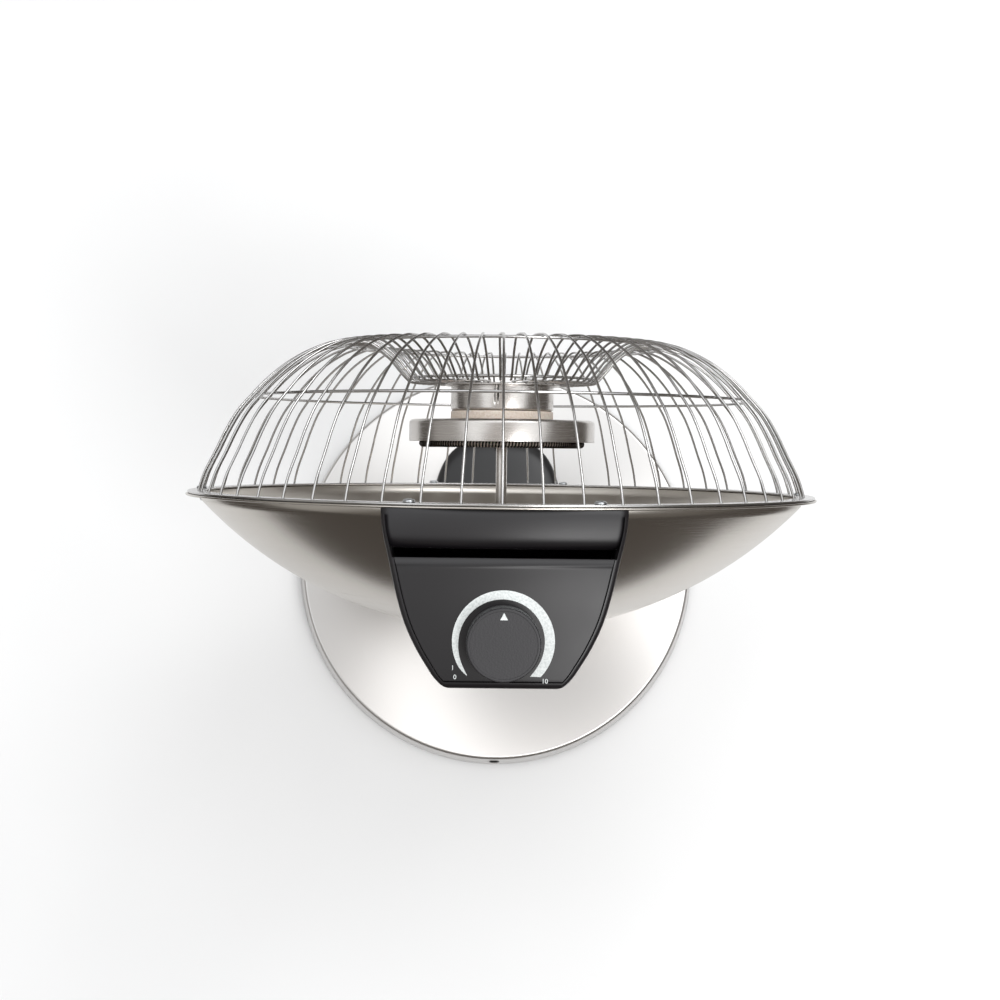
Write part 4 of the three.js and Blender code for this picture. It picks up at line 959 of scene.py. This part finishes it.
dial = {"back": 70.0, "outer": 26.7, "ink": 0.06, "start": 43.3, "cut": 18.2,
        "inner": ((-236.0, 23.0), (-215.0, 22.0), (-180.0, 21.5), (-90.0, 22.0), (0.0, 23.4), (30.0, 24.6),
                  (43.3, 25.6))}
knob = {"radius": 19.3, "low": 195.6, "height": 14.1, "draft": 0.3, "bevel": 1.1,
        "socket": 3.3, "pointer": ((0.0, -16.6), (-2.0, -12.9), (2.0, -12.9))}
toDial = toHead @ Matrix.Translation((0, 0, -dial["back"] * mm)) @ Matrix.Rotation(math.radians(-90), 4, "X")


def inkPlate(name, outline, height, body):
    # thin print with square edges; the outline lies in the dial's own plane
    rings = [[(x, y, z) for x, y in outline] for z in (height, height + dial["ink"])]
    piece = loft(name, rings, inkWhite, toDial, sharp=30)
    return fitted(piece, body, "knob_plastic" if body == "knob" else "black_plastic")


def scaleArc():
    # crescent round the knob, thin where the power is least and cut off straight at its other end
    def edgeOf(radiusAt, last):
        points = []
        for i in range(121):
            a = dial["start"] + (last - dial["start"]) * i / 120
            r = radiusAt(a)
            points.append((r * math.cos(math.radians(a)), r * math.sin(math.radians(a))))
        return points
    outerEnd = -180 - math.degrees(math.asin(dial["cut"] / dial["outer"]))
    innerEnd = -180 - math.degrees(math.asin(dial["cut"] / dial["inner"][0][1]))
    outer = edgeOf(lambda a: dial["outer"] - max(0, a - dial["start"] + 12) / 12 * 0.7, outerEnd)
    inner = edgeOf(lambda a: along(dial["inner"], a), innerEnd)
    return inkPlate("scaleArc", outer + inner[::-1], box["panel"] + 0.02, "head")


def numeral(name, text, across, back, size):
    curve = bpy.data.curves.new(name, "FONT")
    curve.body = text
    curve.size = size
    curve.align_x, curve.align_y = "CENTER", "CENTER"
    curve.extrude = dial["ink"] / 2
    curve.offset = 0.02
    curve.resolution_u = 6
    written = bpy.data.objects.new(name + "Curve", curve)
    bpy.context.scene.collection.objects.link(written)
    mesh = bpy.data.meshes.new_from_object(written.evaluated_get(bpy.context.evaluated_depsgraph_get()))
    bpy.data.objects.remove(written)
    mesh.materials.clear()
    mesh.materials.append(inkWhite)
    lift = box["panel"] + 0.02 + dial["ink"] / 2
    mesh.transform(toDial @ Matrix.Translation((across * mm, back * mm, lift * mm))
                   @ Matrix.Rotation(math.pi, 4, "Z") @ Matrix.Scale(mm, 4))
    piece = bpy.data.objects.new(name, mesh)
    bpy.context.scene.collection.objects.link(piece)
    fitted(facesOut(piece, merged=True), "head", "black_plastic")


scaleArc()
numeral("numeralOne", "1", 26.2, 13.9, 3.4)
numeral("numeralZero", "0", 25.0, 18.7, 3.4)
numeral("numeralTen", "10", -21.7, 20.5, 3.4)

knobTop = knob["low"] + knob["height"]
edge = knob["radius"] - knob["draft"]
knobPiece = lathe("powerKnob", rounded([
    (knob["socket"], knob["low"], 0), (knob["radius"], knob["low"], 0.3), (knob["radius"], knobTop - 3.0, 0),
    (edge, knobTop, knob["bevel"]), (edge - 1.5, knobTop, 0.1), (edge - 1.62, knobTop - 0.25, 0.1)],
    closed=False, steps=6)
    + [(0, knobTop - 0.25), (0, knobTop - 3.0), (knob["socket"], knobTop - 3.0)], knobPlastic, toDial, 160, sharp=50)
fitted(knobPiece, "knob", "knob_plastic", "power_knob")
inkPlate("knobPointer", knob["pointer"], knobTop - 0.25 + 0.01, "knob")
print("dial done")


# base

base = {"radius": 169.0, "top": 162.0, "height": 26.0, "low": 5.0, "wall": 1.0, "cord": 4.3,
        "cordHeight": 14.5}


def baseCover():
    top, wall, low = base["height"], base["wall"], base["low"]
    skirt = base["radius"] - 0.2
    cover = lathe("baseCover", [(0, top - wall)] + rounded([
        (60.0, top - wall, 0), (base["top"] + 1.4, top - wall, 4.0), (base["radius"] - wall, low, 0),
        (base["radius"], low, 0.3), (base["top"] + 2.6, top, 3.6), (60.0, top, 0)], closed=False, steps=9)
        + [(0, top)], baseSteel, toWorld, 256, sharp=50)
    turnBack = Matrix.Translation((0, skirt * mm, base["cordHeight"] * mm))
    turnBack = turnBack @ Matrix.Rotation(math.radians(-90), 4, "X")
    cutter = lathe("cordCutter", [(0, -12), (base["cord"], -12), (base["cord"], 12), (0, 12)],
                   darkSteel, turnBack, 32)
    cutter.data.uv_layers.remove(cutter.data.uv_layers["spin"])
    return carved(cover, [cutter])


fitted(baseCover(), "base", "brushed_steel", "base_cover")


def cordBush():
    # rubber bush in the cord hole, with a rounded outer lip
    wall = base["radius"] - 2.3
    place = Matrix.Translation((0, 0, base["cordHeight"] * mm)) @ Matrix.Rotation(math.radians(-90), 4, "X")
    return lathe("cordBush", rounded([
        (2.6, wall - 7.0, 0.4), (base["cord"] + 1.4, wall - 7.0, 0.5), (base["cord"] + 1.4, wall - 2.4, 0.3),
        (base["cord"] - 0.3, wall - 2.4, 0), (base["cord"] - 0.3, wall + 0.5, 0.3), (2.6, wall + 0.5, 0.6)]),
        rubberBlack, place, 48, sharp=50)


fitted(cordBush(), "base", "rubber", "cord_bush")


def rubberFoot():
    shape = lathe("footShape", [(0, 0)] + rounded([
        (3.0, 0, 0), (8.6, 0, 0.8), (10.0, 1.6, 1.0), (9.3, 6.2, 0.3), (3.0, 6.2, 0)], closed=False, steps=4)
        + [(0, 6.2)], rubberBlack, segments=40, sharp=50)
    shape.data.uv_layers.remove(shape.data.uv_layers["spin"])
    return shape


footPlaces = [(146 * math.cos(math.radians(a)), 146 * math.sin(math.radians(a)), 0) for a in (45, 135, 225, 315)]
feet = scattered("rubberFeet", rubberFoot(), footPlaces, 0.0, rubberBlack)
fitted(feet, "base", "rubber", *[f"foot_{i + 1}" for i in range(4)])
print("base done")


# stand

stand = {"floor": 26.3, "wall": 3.0, "square": 3.2, "seam": 0.35,
         "front": ((0, -108.0), (3, -107.6), (6, -106.2), (8.5, -102.0), (11.5, -93.0), (17, -54.0), (21, -30.0),
                   (25.5, -10.0), (35, 8.0), (48, 20.0), (96, 37.0), (169.8, 54.5), (243.7, 70.0)),
         "back": ((0, 100.0), (17, 94.0), (48, 87.0), (96, 84.0), (169.8, 91.0), (243.7, 100.0)),
         "side": ((0, 57.0), (17, 54.0), (30, 48.5), (48, 42.0), (96, 33.0), (169.8, 28.0), (243.7, 25.0)),
         "parting": ((46.5, -10.0), (48.0, 26.6), (51.0, 74.3), (57.5, 122.3), (74.0, 196.0), (85.0, 240.0),
                     (90.0, 275.0), (96.0, 320.0))}


def standRing(level, inset=0.0, lift=0.0, count=96):
    front = along(stand["front"], level) + inset
    back = along(stand["back"], level) - inset
    half = along(stand["side"], level) - inset
    power = 2 / stand["square"]
    ring = []
    for k in range(count):
        a = math.tau * k / count
        c, s = math.cos(a), math.sin(a)
        ring.append((half * math.copysign(abs(c) ** power, c),
                     (front + back) / 2 + (back - front) / 2 * math.copysign(abs(s) ** power, s),
                     stand["floor"] + level + lift))
    return ring


def standLevels():
    low = [0.0, 0.25, 0.8, 1.6] + [2.4 + 0.8 * i for i in range(30)]
    return low + [27.0 + (243.7 - 27.0) * i / 44 for i in range(45)]


def standSkin(name, inset, caps):
    rings = []
    for level in standLevels():
        draw = inset
        if inset == 0:
            draw = max(0.0, 0.9 - level) * 0.9 + max(0.0, level - 242.6) * 0.9
        rings.append(standRing(level, draw))
    if inset:
        rings = [standRing(0, inset, -caps)] + rings + [standRing(243.7, inset, caps)]
    return loft(name, rings, standPlastic, sharp=50)


def standShell(name, side):
    # one moulding: the skin less its hollow, on one side of the parting line
    shell = standSkin(name, 0, 0)
    hollow = standSkin("standHollow", stand["wall"], 6)
    line = [(y + side * stand["seam"] / 2, z) for y, z in stand["parting"]]
    away = -side * 400
    outline = line + [(away, line[-1][1]), (away, line[0][1])]
    keepOut = loft("partingCutter", [[(x, y, z) for y, z in outline] for x in (-90, 90)], standPlastic)
    carved(shell, [hollow, keepOut])
    return smoothShaded(shell, 40)


fitted(standShell("standFront", -1), "base", "black_plastic", "stand_front_shell")
fitted(standShell("standRear", 1), "base", "black_plastic", "stand_rear_shell")
print("stand done")


# carried-over parts

finishes = {
    "base_bottom_plate": darkSteel, "counterweight": castIron, "tip_switch": blackPlastic, "tip_plunger": knobPlastic,
    "support_arm": darkSteel, "stand_bolt_1": zincPlate, "stand_bolt_2": zincPlate, "stand_bolt_3": zincPlate,
    "stand_bolt_4": zincPlate, "coil_terminal_1": darkSteel, "coil_terminal_2": darkSteel, "tilt_bracket": darkSteel,
    "hinge_pin": zincPlate, "hinge_nut": zincPlate, "friction_washer_1": brassPlain, "friction_washer_2": brassPlain,
    "power_controller": darkSteel, "knob_shaft": zincPlate, "thermal_cutout": brassPlain,
    "terminal_block": ceramicBody}
for name, material in finishes.items():
    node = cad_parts[name]
    node.data.materials.clear()
    node.data.materials.append(material)
print("carried-over parts done")


# view layer update


bpy.context.view_layer.update()
